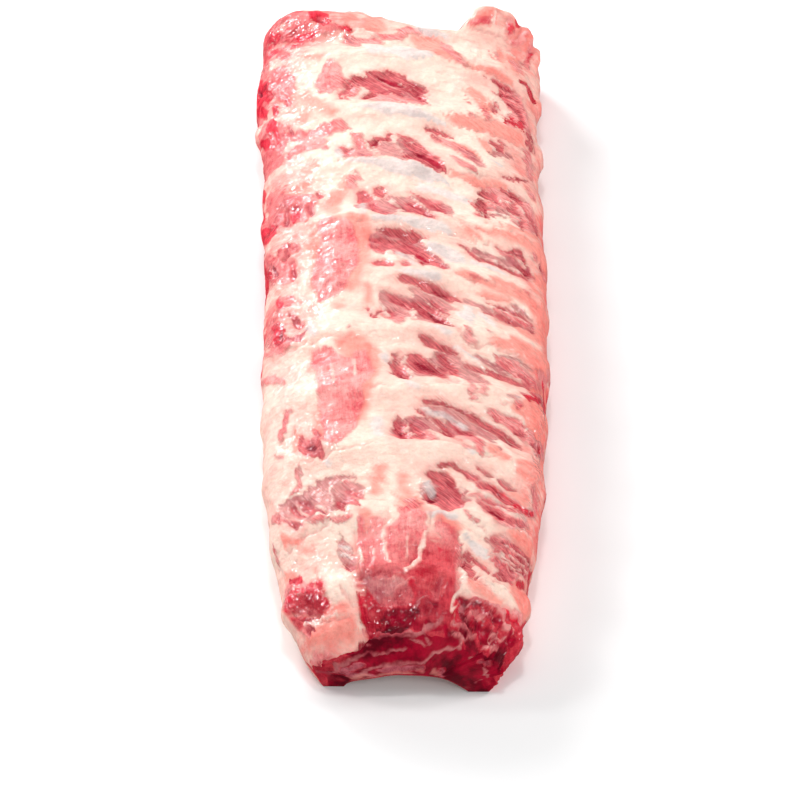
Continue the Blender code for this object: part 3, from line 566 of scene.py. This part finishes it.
def noise(a, b, size, seed, octaves=1):
    """Smooth noise from -1 to 1 over the plane of a and b, with features of the given size. Each use has its
    own seed."""
    total, scale, weight = 0.0, 1.0, 0.0
    for octave in range(octaves):
        grid = np.random.default_rng(seed + octave).uniform(-1.0, 1.0, (NOISE_CELLS, NOISE_CELLS))
        u, v = a / size / scale, b / size / scale
        i, j = np.floor(u).astype(int), np.floor(v).astype(int)
        p, q = u - i, v - j
        p, q = p * p * (3.0 - 2.0 * p), q * q * (3.0 - 2.0 * q)
        i, j = i % NOISE_CELLS, j % NOISE_CELLS
        next_i, next_j = (i + 1) % NOISE_CELLS, (j + 1) % NOISE_CELLS
        low = grid[i, j] * (1 - p) + grid[next_i, j] * p
        high = grid[i, next_j] * (1 - p) + grid[next_i, next_j] * p
        total = total + scale * (low * (1 - q) + high * q)
        weight += scale
        scale *= 0.5
    return total / weight


def patch(t, y, across, lengthwise):
    """1 in a patch of the sheet and 0 outside, with soft sides."""
    share = 1.0
    for start, full in across:
        share = share * smooth(t, start, full)
    for start, full in lengthwise:
        share = share * smooth(y, start, full)
    return share


def laid(strokes, across, along_y, spread=SPREAD, rise=1.0):
    """How far inside the nearest stroke each point is, in mm; negative outside."""
    inside = np.full(np.shape(across), -FAR_OUTSIDE)
    for stroke in strokes:
        points = [(t * spread, y * rise, w) for t, y, w in stroke]
        for (a0, b0, w0), (a1, b1, w1) in zip(points, points[1:] or points):
            da, db = a1 - a0, b1 - b0
            ahead = (across - a0) * da + (along_y - b0) * db
            share = np.clip(ahead / max(da * da + db * db, 1e-6), 0.0, 1.0)
            distance = np.hypot(across - a0 - share * da, along_y - b0 - share * db)
            inside = np.maximum(inside, w0 + (w1 - w0) * share - distance)
    return inside


def blank(shape):
    """Depths with nothing laid."""
    return {name: np.full(shape, -MOST_DEPTH) for name in NAMES}


# Fibres between the ribs run down to the right, steeply at the crest and level at the right side.
FIBRE_SLOPE, FIBRE_BEND, LEVEL_FROM = 1.35, 0.0123, 55.0


def fibre_sheet(t, y):
    """Sheet coordinates in which the meat between the ribs has level fibres."""
    s = t * SPREAD
    return np.stack([s, y + FIBRE_SLOPE * s - FIBRE_BEND * np.clip(s, 0.0, LEVEL_FROM) ** 2], -1)


def feathered(t, y, lengthwise, amount):
    """The sheet's points moved to and fro along the fibres, so that strokes end in feathers."""
    s = t * SPREAD
    slope = 2.0 * FIBRE_BEND * np.clip(s, 0.0, LEVEL_FROM) - FIBRE_SLOPE
    level = fibre_sheet(t, y)[..., 1]
    steep = np.sqrt(1.0 + slope**2)
    slide = amount * (1.0 - lengthwise) * noise(level / steep, 0.12 * s, 1.9, 201, 2)
    sink = 0.5 * amount * lengthwise * noise(s, 0.12 * y, 1.9, 211, 2)
    return s + slide / steep, y + slide * slope / steep + sink


def painted(t, y, field):
    """Every layer's depth at t and y, with feathered ends and edges made uneven by noise."""
    s = t * SPREAD
    a, b = feathered(t, y, field["lengthwise"], 1.0 + 3.2 * field["stripes"])
    fine = 0.9 - 0.5 * field["stripes"]
    a = a + noise(s, y, 7.0, 11, 2) + fine * noise(s, y, 2.4, 21)
    b = b + noise(s, y, 7.0, 31, 2) + fine * noise(s, y, 2.4, 41)
    return {name: laid(strokes, a, b) for name, strokes in LAYS.items()}


def fields(t, y):
    """Soft tints of the fat, from 0 to 1 and over 1 in bloody meat, and how the fibres of the meat run."""
    on = {name: patch(t, y, *sides) for name, sides in PATCHES.items()}
    s, rib = t * SPREAD, np.clip(ribs(y, t), 0.0, 1.0)
    drift = 0.22 * noise(s, y, 16.0, 101, 3)

    blush = smooth(t + drift * 0.5, -0.3, -0.55) * smooth(y, -48.0, -30.0) * (0.72 - 0.34 * rib)
    blush += 0.16 * smooth(t + drift, -0.28, -0.5) * smooth(y, -30.0, -48.0)
    blush += 0.5 * on["far_corner"] + 0.25 * on["left_foot"] + 0.4 * on["right_foot"]
    blush += on["tongue"] * on["tongue_tip"] * (0.6 + 0.7 * smooth(t, 0.0, 0.1))
    blush += 0.9 * on["tongue"] * on["tongue_end"] + 1.5 * on["ragged_blush"] + 1.5 * on["oval"]
    blush += 0.4 * bump(t, 0.64, 0.12) * bump(y, -58.0, 14.0)
    blush += 0.3 * bump(t, -0.45, 0.22) * bump(y, 168.0, 11.0)

    inner = 0.46 - 0.2 * smooth(y, 50.0, 90.0)
    peach = smooth(t + drift, inner, 0.74) * (0.95 - 0.3 * smooth(y, 60.0, 90.0)) * (1.0 - 0.2 * rib)
    peach += 0.5 * on["near_peach"] + 0.3 * on["far_peach"]

    smoother = 0.8 * on["left"] + 0.65 * on["tongue"]
    smoother += on["near_right"] + on["near_left"] + on["far_right"]
    return {
        "blush": blush,
        "peach": peach,
        "lengthwise": np.clip(on["strip"] + on["tongue"] + on["far_left"], 0.0, 1.0),
        "stripes": 1.0 - np.clip(smoother, 0.0, 0.9),
        "granular": np.clip(on["strip"] + 0.8 * on["left"] + on["far_left"], 0.0, 1.0),
    }


def fine_relief(t, y, depth):
    """Small forms over the solid's: fat stands over the windows, strings stand up, wet meat is lumpy."""
    s = t * SPREAD
    along_fibre = fibre_sheet(t, y)[..., 1]
    relief = 0.9 * noise(s, y, 13.0, 51, 3) - 0.6 * np.abs(noise(s, y, 7.0, 55, 2))
    for name, height, start, end in STANDS:
        relief += height * smooth(depth[name], start, end)
    for name, height, start, end, squeeze, size, seed, octaves in LUMPY:
        relief += height * smooth(depth[name], start, end) * noise(squeeze * s, y, size, seed, octaves)
    window = smooth(np.maximum(depth["dark"], depth["mauve"]), -5.0, -0.5)
    relief += 0.3 * window * noise(s * 0.15, along_fibre, 2.6, 57, 2)
    torn = 0.3 - np.abs(noise(s * 0.8, y + 0.4 * s, 5.0, 75, 2))
    relief += 3.6 * patch(t, y, *PATCHES["ragged_end"]) * torn
    relief += 1.4 * patch(t, y, *PATCHES["fold"])
    return relief * (1.0 - smooth(np.abs(t), 0.9, 1.0))


# --- The mesh --------------------------------------------------------------------------------------------


def sheet_grid(columns):
    """The share of the way along and t, by row and column."""
    share = np.linspace(0.0, 1.0, ROWS + 1)[:, None]
    return share, np.linspace(-1.0, 1.0, columns + 1)[None, :] + 0.0 * share


def outer_sheet():
    """Points, layer depths and sheet coordinates over the top and sides, by row and column."""
    share, t = sheet_grid(COLUMNS)
    y = rows(share, t, 1.0)
    from_end = np.minimum(y - near_end(t, 1.0), far_end(t, 1.0) - y)
    torn = smooth(from_end, 12.0, 0.0) * (1.0 - smooth(np.abs(t), 0.9, 1.0))
    uneven = 1.6 * np.abs(noise(t * SPREAD, 0.0 * t, 7.0, 121, 3)) * torn
    y += np.where(share < 0.5, uneven - 1.2 * torn, -2.0 * uneven)
    field = fields(t, y)
    depth = {**painted(t, y, field), **field}
    x, z = raised(outer_section, outer_relief(y, t) + fine_relief(t, y, depth), y, t)
    z -= ROLL * smooth(from_end, ROLL_LENGTH, 0.0) * (1.0 - smooth(np.abs(t), 0.7, 1.0))
    _, under_z = under_section(y, t)
    z = np.maximum(z, under_z + LEAST_WALL * (1.0 - np.abs(t)))
    z[:, (0, -1)] = 0.0
    return np.stack([x, y, z], -1), depth, (np.stack([t * SPREAD, y], -1), fibre_sheet(t, y))


def under_sheet():
    """The same for the hollow side, with fewer columns. All of it is membrane, so no layer is laid on it but
    deep meat along its two ends."""
    share, t = sheet_grid(UNDER_COLUMNS)
    y = rows(share, t, 0.0)
    x, z = under_section(y, t)
    z = np.maximum(z - under_relief(y, t) + 0.4 * noise(x, y, 9.0, 81, 2), LEAST_HOLLOW)
    z[:, (0, -1)] = 0.0
    depth = blank(t.shape)
    depth["deep"][(0, -1), :] = MOST_DEPTH
    sheet = np.stack([t * SPREAD, y], -1)
    return np.stack([x, y, z], -1), depth, (sheet, sheet)


def end_face(outer, under, t, outer_y, bulge, seed):
    """Points, layer depths and sheet coordinates of a cut face, in layers between its under edge and its
    outer edge, without either. outer_y is y on the outer edge, and bulge is 1 or -1, the way out."""
    under_t = np.linspace(-1.0, 1.0, UNDER_COLUMNS + 1)
    edge = np.stack([np.interp(t, under_t, under[:, i]) for i in range(3)], -1)
    share = (np.arange(1, LAYERS) / LAYERS)[:, None] + 0.0 * t[None, :]
    s, up = t[None, :] * CUT_SPREAD + 0.0 * share, share * CUT_RISE
    a = s + 0.8 * noise(s, up, 3.0, seed + 11, 2)
    b = up + 0.8 * noise(s, up, 3.0, seed + 21, 2)

    depth = blank(share.shape)
    depth.update({name: laid(strokes, a, b, CUT_SPREAD, CUT_RISE) for name, strokes in CUT_LAYS.items()})
    depth["red"] = np.full(share.shape, MOST_DEPTH)
    depth["wet"] = 4.0 * noise(s, up, 9.0, seed + 31)
    fat_under_lip = smooth(t, -0.36, -0.44) * smooth(share, 0.66, 0.76)
    bare = np.maximum(smooth(depth["mauve"], -1.5, 0.5), fat_under_lip)
    feet = smooth(np.abs(t), 0.55, 0.85)[None, :]
    thick = 2.2 - 1.4 * feet + 1.4 * noise(s, up, 4.0, seed + 41, 2) - 4.0 * bare
    depth["deep"] = np.maximum(thick, depth["deep"])
    for name in FIELDS:
        depth[name] = np.full(share.shape, CUT_BLUSH if name == "blush" else 0.0)

    form = 0.9 * smooth(depth["string"], -1.0, 0.5) - 0.9 * smooth(depth["deep"], 1.0, 3.4)
    if bulge < 0.0:
        form = form - 2.6 * lip(t) * bump(share, 0.82, 0.1)
    points = edge[None] * (1.0 - share[..., None]) + outer[None] * share[..., None]
    inner = np.sin(share * math.pi) * (1.0 - np.abs(t[None, :]) ** 6)
    rough = 0.6 * noise(points[..., 0], points[..., 2], 5.0, seed, 3) + 0.4 + form
    points[..., 1] += rough * inner * bulge
    height = (outer[:, 2] - edge[:, 2])[None, :]
    sheet = np.stack([s, outer_y[None, :] + bulge * (1.0 - share) * height], -1)
    return points, depth, (sheet, sheet)


class Skin:
    """Vertices with their layer depths and sheet coordinates, and the faces between them."""

    def __init__(self):
        self.points, self.depths, self.sheets, self.faces, self.finish = [], [], ([], []), [], []
        self.count = 0

    def add(self, points, depth, sheets):
        """Adds a grid of vertices and returns their numbers, by row and column."""
        shape = points.shape[:-1]
        self.points.append(points.reshape(-1, 3))
        self.depths.append(np.stack([depth[name].reshape(-1) for name in NAMES], -1))
        for kept, sheet in zip(self.sheets, sheets):
            kept.append(sheet.reshape(-1, 2))
        numbers = np.arange(self.count, self.count + shape[0] * shape[1]).reshape(shape)
        self.count += numbers.size
        return numbers

    def quads(self, grid, finish):
        """Faces between the vertices of a grid."""
        corners = (grid[:-1, :-1], grid[:-1, 1:], grid[1:, 1:], grid[1:, :-1])
        new = np.stack([c.reshape(-1) for c in corners], -1).tolist()
        self.faces += new
        self.finish += [finish] * len(new)

    def stitch(self, few, many, finish):
        """Triangles between two edges whose ends meet on the same line, one with fewer vertices."""
        few_steps, many_steps = len(few) - 1, len(many) - 1
        i = j = 0
        while i < few_steps or j < many_steps:
            few_is_next = i < few_steps and (i + 1) / few_steps <= (j + 1) / many_steps
            if j >= many_steps or few_is_next:
                self.faces.append([few[i], few[i + 1], many[j]])
                i += 1
            else:
                self.faces.append([few[i], many[j + 1], many[j]])
                j += 1
            self.finish.append(finish)


MEAT, UNDER_MEMBRANE = 0, 1  # material slots
ENDS = ((0, -1.0, 91), (ROWS, 1.0, 95))  # row, way out, seed


def rack_mesh():
    """The closed skin: both sheets, the two end faces, and the feet between the sheets' edges."""
    t = np.linspace(-1.0, 1.0, COLUMNS + 1)
    outer, outer_depth, outer_sheets = outer_sheet()
    under, under_depth, under_sheets = under_sheet()
    skin = Skin()
    top = skin.add(outer, outer_depth, outer_sheets)
    bottom = skin.add(under, under_depth, under_sheets)
    skin.quads(top, MEAT)
    skin.quads(bottom, UNDER_MEMBRANE)
    fronts = []
    for row, bulge, seed in ENDS:
        outer_y = outer_sheets[0][row][:, 1]
        grid = skin.add(*end_face(outer[row], under[row], t, outer_y, bulge, seed))
        full = np.concatenate([grid, top[row][None, :]], 0)
        skin.quads(full, MEAT)
        skin.stitch(bottom[row].tolist(), grid[0].tolist(), MEAT)
        fronts.append(full)
    for side in (0, -1):
        inner, edge = bottom[:, side], top[:, side]
        for row in range(ROWS):
            face = [inner[row], edge[row], edge[row + 1], inner[row + 1]]
            if row == 0:
                face = [inner[0], *fronts[0][:-1, side], edge[0], edge[1], inner[1]]
            if row == ROWS - 1:
                face = [inner[row], edge[row], edge[ROWS], *fronts[1][:-1, side][::-1], inner[ROWS]]
            skin.faces.append([int(i) for i in face])
            skin.finish.append(UNDER_MEMBRANE)
    return skin


def build_rack():
    """The rack's object, with the layers' depths as colour attributes and the sheets as UV maps."""
    skin = rack_mesh()
    points = np.concatenate(skin.points) - np.array([*ORIGIN, 0.0])
    points = np.clip(points * MM, *map(np.array, CAD_BOX))
    mesh = bpy.data.meshes.new("rib_rack")
    mesh.from_pydata(points.tolist(), [], skin.faces)
    depths = np.clip(np.concatenate(skin.depths), -MOST_DEPTH, MOST_DEPTH)
    for label, first in ATTRIBUTES.items():
        attribute = mesh.attributes.new(label, "FLOAT_COLOR", "POINT")
        attribute.data.foreach_set("color", depths[:, first : first + 4].astype(np.float32).ravel())
    corners = np.empty(len(mesh.loops), dtype=np.int32)
    mesh.loops.foreach_get("vertex_index", corners)
    for label, sheet in zip(("sheet", "fibres"), skin.sheets):
        place = np.concatenate(sheet)[corners].astype(np.float32)
        mesh.uv_layers.new(name=label).data.foreach_set("uv", place.ravel())
    mesh.polygons.foreach_set("material_index", np.array(skin.finish, dtype=np.int32))
    mesh.polygons.foreach_set("use_smooth", np.ones(len(mesh.polygons), dtype=bool))
    mesh.update()
    rack = bpy.data.objects.new("rib_rack", mesh)
    bpy.context.scene.collection.objects.link(rack)
    return rack


# --- Materials -------------------------------------------------------------------------------------------


def colour(code):
    """A hex colour as linear red, green, blue and alpha, by the sRGB curve."""
    parts = [int(code[i : i + 2], 16) / 255.0 for i in (1, 3, 5)]
    return tuple(p / 12.92 if p <= 0.04045 else ((p + 0.055) / 1.055) ** 2.4 for p in parts) + (1.0,)


class Nodes:
    """A short way to add nodes: a setting or a link for each named input."""

    def __init__(self, name):
        self.material = bpy.data.materials.new(name)
        self.material.use_nodes = True
        self.tree = self.material.node_tree
        self.surface = self.tree.nodes["Principled BSDF"]

    def set(self, node, inputs):
        """Links each input to a socket, or gives it a value."""
        for key, value in inputs.items():
            if isinstance(value, bpy.types.NodeSocket):
                self.tree.links.new(value, node.inputs[key])
            else:
                node.inputs[key].default_value = value

    def add(self, kind, inputs=None, **settings):
        """A new node, with its settings made before its inputs, because they decide which inputs it has."""
        node = self.tree.nodes.new("ShaderNode" + kind)
        for key, value in settings.items():
            setattr(node, key, value)
        self.set(node, inputs or {})
        return node

    def maths(self, operation, a, b):
        return self.add("Math", {0: a, 1: b}, operation=operation).outputs[0]

    def product(self, a, b):
        return self.maths("MULTIPLY", a, b)

    def most(self, first, *others):
        """The greatest of some numbers."""
        for other in others:
            first = self.maths("MAXIMUM", first, other)
        return first

    def noise(self, vector, scale, detail, roughness):
        inputs = {"Vector": vector, "Scale": scale, "Detail": detail, "Roughness": roughness}
        return self.add("TexNoise", inputs).outputs["Fac"]

    def streaks(self, vector, turn, size, detail, roughness):
        """Noise whose features have a length and a width in mm, turned by an angle in degrees."""
        turned = {"Vector": vector, "Rotation": (0.0, 0.0, math.radians(turn))}
        turned = self.add("Mapping", turned).outputs[0]
        scaled = {"Vector": turned, "Scale": (1.0 / size[0], 1.0 / size[1], 1.0)}
        scaled = self.add("Mapping", scaled).outputs[0]
        return self.noise(scaled, 1.0, detail, roughness)

    def range(self, value, start, end, low=0.0, high=1.0, kind="SMOOTHSTEP"):
        inputs = {"Value": value, "From Min": start, "From Max": end, "To Min": low, "To Max": high}
        return self.add("MapRange", inputs, interpolation_type=kind).outputs["Result"]

    def line(self, value, start, end, low=0.0, high=1.0):
        return self.range(value, start, end, low, high, "LINEAR")

    def blend(self, share, a, b):
        """Between two numbers."""
        return self.add("Mix", {0: share, 2: a, 3: b}, data_type="FLOAT").outputs[0]

    def mix(self, share, a, b):
        """Between two colours, each a socket or a hex code."""
        a, b = (colour(c) if isinstance(c, str) else c for c in (a, b))
        return self.add("Mix", {0: share, 6: a, 7: b}, data_type="RGBA").outputs[2]

    def bump(self, height, strength, distance):
        inputs = {"Height": height, "Strength": strength, "Distance": distance}
        return self.add("Bump", inputs).outputs["Normal"]


# Each layer over the fat: its two colours, how much it covers, how far its edge fades in mm, how ragged it
# is.
COATS = (
    ("salmon", "#FA7064", "#FFA090", 0.74, 1.8, 6.0),
    ("lean", "#DE5C62", "#FFB4AE", 0.9, 0.9, 6.5),
    ("red", "#B01624", "#F4525A", 0.92, 0.6, 5.0),
    ("mauve", "#BC6268", "#E2A29C", 0.85, 0.7, 4.0),
    ("dark", "#A8363F", "#E88080", 0.88, 0.55, 3.5),
    ("deep", "#84202C", "#B83844", 0.94, 0.6, 4.0),
    ("silver", "#CEC2C0", "#E6DAD5", 0.8, 1.0, 4.0),
    ("pale", "#F8C9BB", "#FFE2D4", 0.9, 0.6, 0.6),
    ("string", "#CC5C62", "#F2A8A2", 0.88, 0.5, 0.6),
    # crease: painted shade, darker pink along folds in the fat; on the cut face the same colours draw the
    # pale rim.
    ("crease_shade_and_cut_rim", "#D8807A", "#F0A89C", 0.6, 0.7, 0.8),
)
UNSTRIPED = ("deep", "silver", "pale", "string", "crease_shade_and_cut_rim")
MEAT_LAYERS = ("dark", "lean", "red", "mauve", "deep")
# Two colours for each layer where it is bloody, with the blush from which and up to which it turns so.
BLOODY = {
    "lean": ("#B02E36", "#DE6C6C", 0.0, 1.2),
    "mauve": ("#903840", "#C8727A", 1.2, 1.8),
    "red": ("#98242E", "#D8585C", 0.9, 1.7),
    "deep": ("#5A0A16", "#B22E3A", 0.0, 1.2),
    "string": ("#A8484F", "#D88C8A", 1.5, 1.8),
}
SHADE_START, SHADE_END = 0.37, 0.61  # of the noise, from a layer's first colour to its second
FAT, PINK_FAT, VEIN, PEACH, BLUSH = "#FFE1D0", "#FDD0C0", "#F9A998", "#FA8178", "#DC424A"
MEMBRANE, RIM, STRAND = "#F2A79C", "#E07C7A", "#F3B9AF"
UNDER_PINK, UNDER_PALE, UNDER_SKIN = "#D98A88", "#F0C4BA", "#EBD6CF"
# Length and width of each kind of streak in mm.
FIBRES, LONG_FIBRES, THREADS, VEINS = (8.0, 0.9), (12.0, 1.2), (5.0, 0.55), (24.0, 3.0)
STRANDS, RIPPLES, UNDER_FIBRES = (16.0, 1.3), (4.5, 1.9), (18.0, 1.6)


def read_layers(n):
    """Each layer's depth and each field, as the mesh holds them."""
    layer = {}
    for label, first in ATTRIBUTES.items():
        attribute = n.add("Attribute", attribute_name=label)
        parts = n.add("SeparateColor", {"Color": attribute.outputs["Color"]})
        layer.update(zip(NAMES[first : first + 4], (*parts.outputs, attribute.outputs["Alpha"])))
    return layer


def meat_grain(n, layer):
    """The noises that the meat and the fat share: blotches, grain, and fibres that run as the meat's do."""
    place = n.add("TexCoord").outputs["Object"]
    sheet = n.add("UVMap", uv_map="sheet").outputs["UV"]
    level = n.add("UVMap", uv_map="fibres").outputs["UV"]
    drift = n.add("TexNoise", {"Vector": sheet, "Scale": 0.07, "Detail": 2.0}).outputs["Color"]
    shift = n.add("VectorMath", {0: drift, "Scale": 5.0}, operation="SCALE").outputs[0]
    bent = n.add("VectorMath", {0: sheet, 1: shift}, operation="ADD").outputs[0]
    bent_level = n.add("VectorMath", {0: level, 1: shift}, operation="ADD").outputs[0]
    blotch = n.noise(place, 90.0, 4.0, 0.6)
    speckle = n.noise(place, 230.0, 5.0, 0.75)
    grain = n.noise(place, 450.0, 4.0, 0.75)
    diagonal = n.streaks(bent_level, 0.0, FIBRES, 4.0, 0.75)
    lengthwise = n.streaks(bent, 90.0, LONG_FIBRES, 4.0, 0.7)
    fibre = n.blend(layer["lengthwise"], diagonal, lengthwise)
    fibre = n.blend(layer["stripes"], speckle, fibre)
    fibre = n.blend(n.product(layer["granular"], 0.65), fibre, speckle)
    diagonal_threads = n.streaks(bent_level, 0.0, THREADS, 2.0, 0.6)
    long_threads = n.streaks(bent, 90.0, THREADS, 2.0, 0.6)
    return {
        "place": place,
        "bent": bent,
        "bent_level": bent_level,
        "blotch": blotch,
        "grain": grain,
        "fibre": fibre,
        "threads": n.blend(layer["lengthwise"], diagonal_threads, long_threads),
        "ragged": n.maths("SUBTRACT", n.blend(0.4, fibre, grain), 0.5),
        "mottled": n.maths("SUBTRACT", n.blend(0.4, blotch, grain), 0.5),
    }


def fat_colour(n, layer, look):
    """Cream to pink, flushed at the sides, with long faint veins, and pinker round each window."""
    blotch = look["blotch"]
    shown = n.mix(n.range(blotch, 0.38, 0.72), FAT, PINK_FAT)
    veins = n.streaks(look["bent"], 8.0, VEINS, 5.0, 0.65)
    uneven = n.range(n.blend(0.5, veins, blotch), 0.34, 0.62, 0.35, 1.25)
    shown = n.mix(n.product(n.range(veins, 0.55, 0.7), 0.4), shown, VEIN)
    shown = n.mix(n.product(layer["peach"], uneven), shown, PEACH)
    shown = n.mix(n.product(layer["blush"], uneven), shown, BLUSH)
    near_window = n.maths("ADD", layer["dark"], n.product(look["ragged"], 8.0))
    shown = n.mix(n.product(n.range(near_window, -6.0, -1.0), 0.34), shown, MEMBRANE)
    return n.mix(n.product(n.range(near_window, -1.8, 0.8), 0.55), shown, RIM)


def coated(n, layer, look, shown):
    """The colour with every layer laid over it, and how much each layer covers."""
    cover = {}
    striped_shade = n.blend(0.4, look["fibre"], look["blotch"])
    for name, deep, light, strength, fade, unevenness in COATS:
        plain = name in UNSTRIPED
        uneven = look["mottled"] if plain else look["ragged"]
        shade = n.range(look["blotch"] if plain else striped_shade, SHADE_START, SHADE_END)
        edge = n.maths("ADD", layer[name], n.product(uneven, unevenness))
        cover[name] = n.range(edge, -fade, fade, 0.0, strength)
        tint = n.mix(shade, deep, light)
        if name in BLOODY:
            dark, bright, start, end = BLOODY[name]
            tint = n.mix(n.line(layer["blush"], start, end), tint, n.mix(shade, dark, bright))
        shown = n.mix(cover[name], shown, tint)
    return shown, cover


def threaded(n, layer, look, shown, meat):
    """The colour with grain everywhere, and threads and strands of membrane along the meat's fibres."""
    grained = n.line(look["grain"], 0.3, 0.7, 0.88, 1.12)
    threads = n.line(look["threads"], 0.3, 0.7, 0.76, 1.25)
    striped = n.product(layer["stripes"], n.line(layer["granular"], 0.0, 1.0, 1.0, 0.45))
    value = n.product(grained, n.blend(n.product(meat, striped), 1.0, threads))
    richness = n.line(meat, 0.0, 1.0, 1.02, 1.07)
    tuned = {"Color": shown, "Hue": 0.497, "Saturation": richness, "Value": value}
    shown = n.add("HueSaturation", tuned).outputs["Color"]
    strands = n.streaks(look["bent_level"], 5.0, STRANDS, 3.0, 0.5)
    sloping = n.maths("SUBTRACT", layer["stripes"], layer["lengthwise"])
    strands = n.product(n.range(strands, 0.58, 0.7), n.product(meat, sloping))
    return n.mix(n.product(strands, 0.5), shown, STRAND)


def meat_material():
    """Pale fat with layers of meat laid over it, under a wet film. The layers' depths come from the mesh."""
    n = Nodes("raw_meat")
    layer = read_layers(n)
    look = meat_grain(n, layer)
    shown, cover = coated(n, layer, look, fat_colour(n, layer, look))
    meat = n.most(*(cover[name] for name in MEAT_LAYERS))

    wet = n.range(layer["wet"], -2.0, 3.0)
    height = n.product(n.product(look["fibre"], meat), 0.7)
    height = n.maths("ADD", height, n.product(n.noise(look["place"], 260.0, 4.0, 0.6), 0.9))
    ripples = n.streaks(look["bent"], -14.0, RIPPLES, 1.2, 0.4)
    ripples = n.product(ripples, n.line(wet, 0.0, 1.0, 0.35, 1.0))
    ripples = n.product(ripples, n.line(layer["wet"], 3.0, 6.0, 1.0, 2.4))
    n.set(
        n.surface,
        {
            "Base Color": threaded(n, layer, look, shown, meat),
            "Roughness": n.line(look["blotch"], 0.3, 0.7, 0.36, 0.5),
            "Normal": n.bump(height, 0.8, 0.0012),
            "Coat Normal": n.bump(ripples, 1.0, 0.002),
            "IOR": 1.38,
            "Specular IOR Level": 0.06,
            "Coat Weight": n.line(wet, 0.0, 1.0, 0.2, 1.0),
            "Coat Roughness": 0.045,
            "Coat IOR": 1.5,
            "Subsurface Weight": 0.12,
            "Subsurface Radius": (0.004, 0.0014, 0.001),
            "Subsurface Scale": 0.5,
        },
    )
    return n.material


def membrane_material():
    """The hollow side: a thin pale skin over ribs and pink meat."""
    n = Nodes("rib_membrane")
    place = n.add("TexCoord").outputs["Object"]
    sheet = n.add("UVMap", uv_map="sheet").outputs["UV"]
    fibres = n.streaks(sheet, 4.0, UNDER_FIBRES, 5.0, 0.6)
    blotch = n.noise(place, 60.0, 4.0, 0.6)
    shown = n.mix(n.range(fibres, 0.35, 0.65), UNDER_PINK, UNDER_PALE)
    height = n.maths("ADD", fibres, n.noise(place, 300.0, 3.0, 0.6))
    n.set(
        n.surface,
        {
            "Base Color": n.mix(n.range(blotch, 0.45, 0.6), shown, UNDER_SKIN),
            "Roughness": 0.4,
            "Normal": n.bump(height, 0.5, 0.0007),
            "Coat Weight": 0.5,
            "Coat Roughness": 0.15,
            "Subsurface Weight": 0.2,
            "Subsurface Radius": (0.0045, 0.0016, 0.0011),
            "Subsurface Scale": 1.0,
        },
    )
    return n.material


def floor_material():
    """Plain matt white."""
    n = Nodes("floor_white")
    n.set(n.surface, {"Base Color": colour("#F6F6F6"), "Roughness": 0.7})
    return n.material


# --- Floor, light and camera: lengths in metres ----------------------------------------------------------

FLOOR_HALF, FLOOR_GAP = 6.0, 0.0002
# Name, width and depth, watts, place, and whether its reflection shows in the wet meat.
LIGHTS = (
    ("key", (0.42, 0.42), 15.2, (-0.65, 1.23, 0.6), True),
    ("left", (0.2, 0.2), 4.0, (-1.15, 0.3, 0.8), True),
    ("low", (0.45, 0.45), 4.0, (-0.9, 0.7, 0.42), True),
    ("right", (0.3, 0.3), 5.6, (1.05, 0.3, 0.85), True),
    ("above", (0.2, 0.2), 4.0, (0.0, 0.1, 1.5), True),
    ("top", (1.3, 1.3), 5.4, (-0.1, -0.1, 1.6), False),
    ("front", (1.2, 0.8), 8.8, (0.5, -1.3, 1.0), False),
)
SKY = 0.2
FOCAL_LENGTH, SENSOR_WIDTH = 180.7, 36.0  # in mm
CAMERA_X, CAMERA_Y, CAMERA_Z = 0.008, -1.24375, 0.89667  # from the sheet's x and y of 0
CAMERA_TILT, CAMERA_TURN = math.radians(53.5), 0.00598


def add_area(name, size, power, place, shines):
    """A rectangular light that faces the rack's middle."""
    light = bpy.data.lights.new(name, "AREA")
    light.shape, light.size, light.size_y, light.energy = "RECTANGLE", size[0], size[1], power
    lamp = bpy.data.objects.new(name, light)
    bpy.context.scene.collection.objects.link(lamp)
    lamp.location = place
    x, y, z = place
    lamp.rotation_euler = Euler((math.atan2(math.hypot(x, y), z), 0.0, math.atan2(x, -y)))
    lamp.visible_glossy = shines


def add_floor():
    """A plain pale floor, just under the rack's feet."""
    mesh = bpy.data.meshes.new("floor")
    corners = [(FLOOR_HALF * x, FLOOR_HALF * y, 0.0) for x, y in ((-1, -1), (1, -1), (1, 1), (-1, 1))]
    mesh.from_pydata(corners, [], [(0, 1, 2, 3)])
    mesh.materials.append(floor_material())
    floor = bpy.data.objects.new("floor", mesh)
    bpy.context.scene.collection.objects.link(floor)
    floor.location.z = -FLOOR_GAP
    floor.visible_glossy = False


def add_light():
    """A dim white sky, small lights that glint in the wet meat, and two large soft ones."""
    scene = bpy.context.scene
    scene.world = bpy.data.worlds.new("studio")
    scene.world.use_nodes = True
    background = scene.world.node_tree.nodes["Background"]
    background.inputs["Color"].default_value = (1.0, 1.0, 1.0, 1.0)
    background.inputs["Strength"].default_value = SKY
    for name, size, power, place, shines in LIGHTS:
        add_area(name, size, power, place, shines)
    scene.view_settings.view_transform = "Standard"


def add_camera():
    """A long lens, high over the narrow end."""
    lens = bpy.data.cameras.new("camera")
    lens.lens, lens.sensor_width = FOCAL_LENGTH, SENSOR_WIDTH
    camera = bpy.data.objects.new("camera", lens)
    bpy.context.scene.collection.objects.link(camera)
    camera.location = (CAMERA_X - ORIGIN[0] * MM, CAMERA_Y - ORIGIN[1] * MM, CAMERA_Z)
    camera.rotation_euler = Euler((CAMERA_TILT, 0.0, CAMERA_TURN))
    bpy.context.scene.camera = camera


def main():
    rack = build_rack()
    rack.data.materials.append(meat_material())
    rack.data.materials.append(membrane_material())
    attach(rack, "root")
    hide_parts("rack")
    add_floor()
    add_light()
    add_camera()


main()
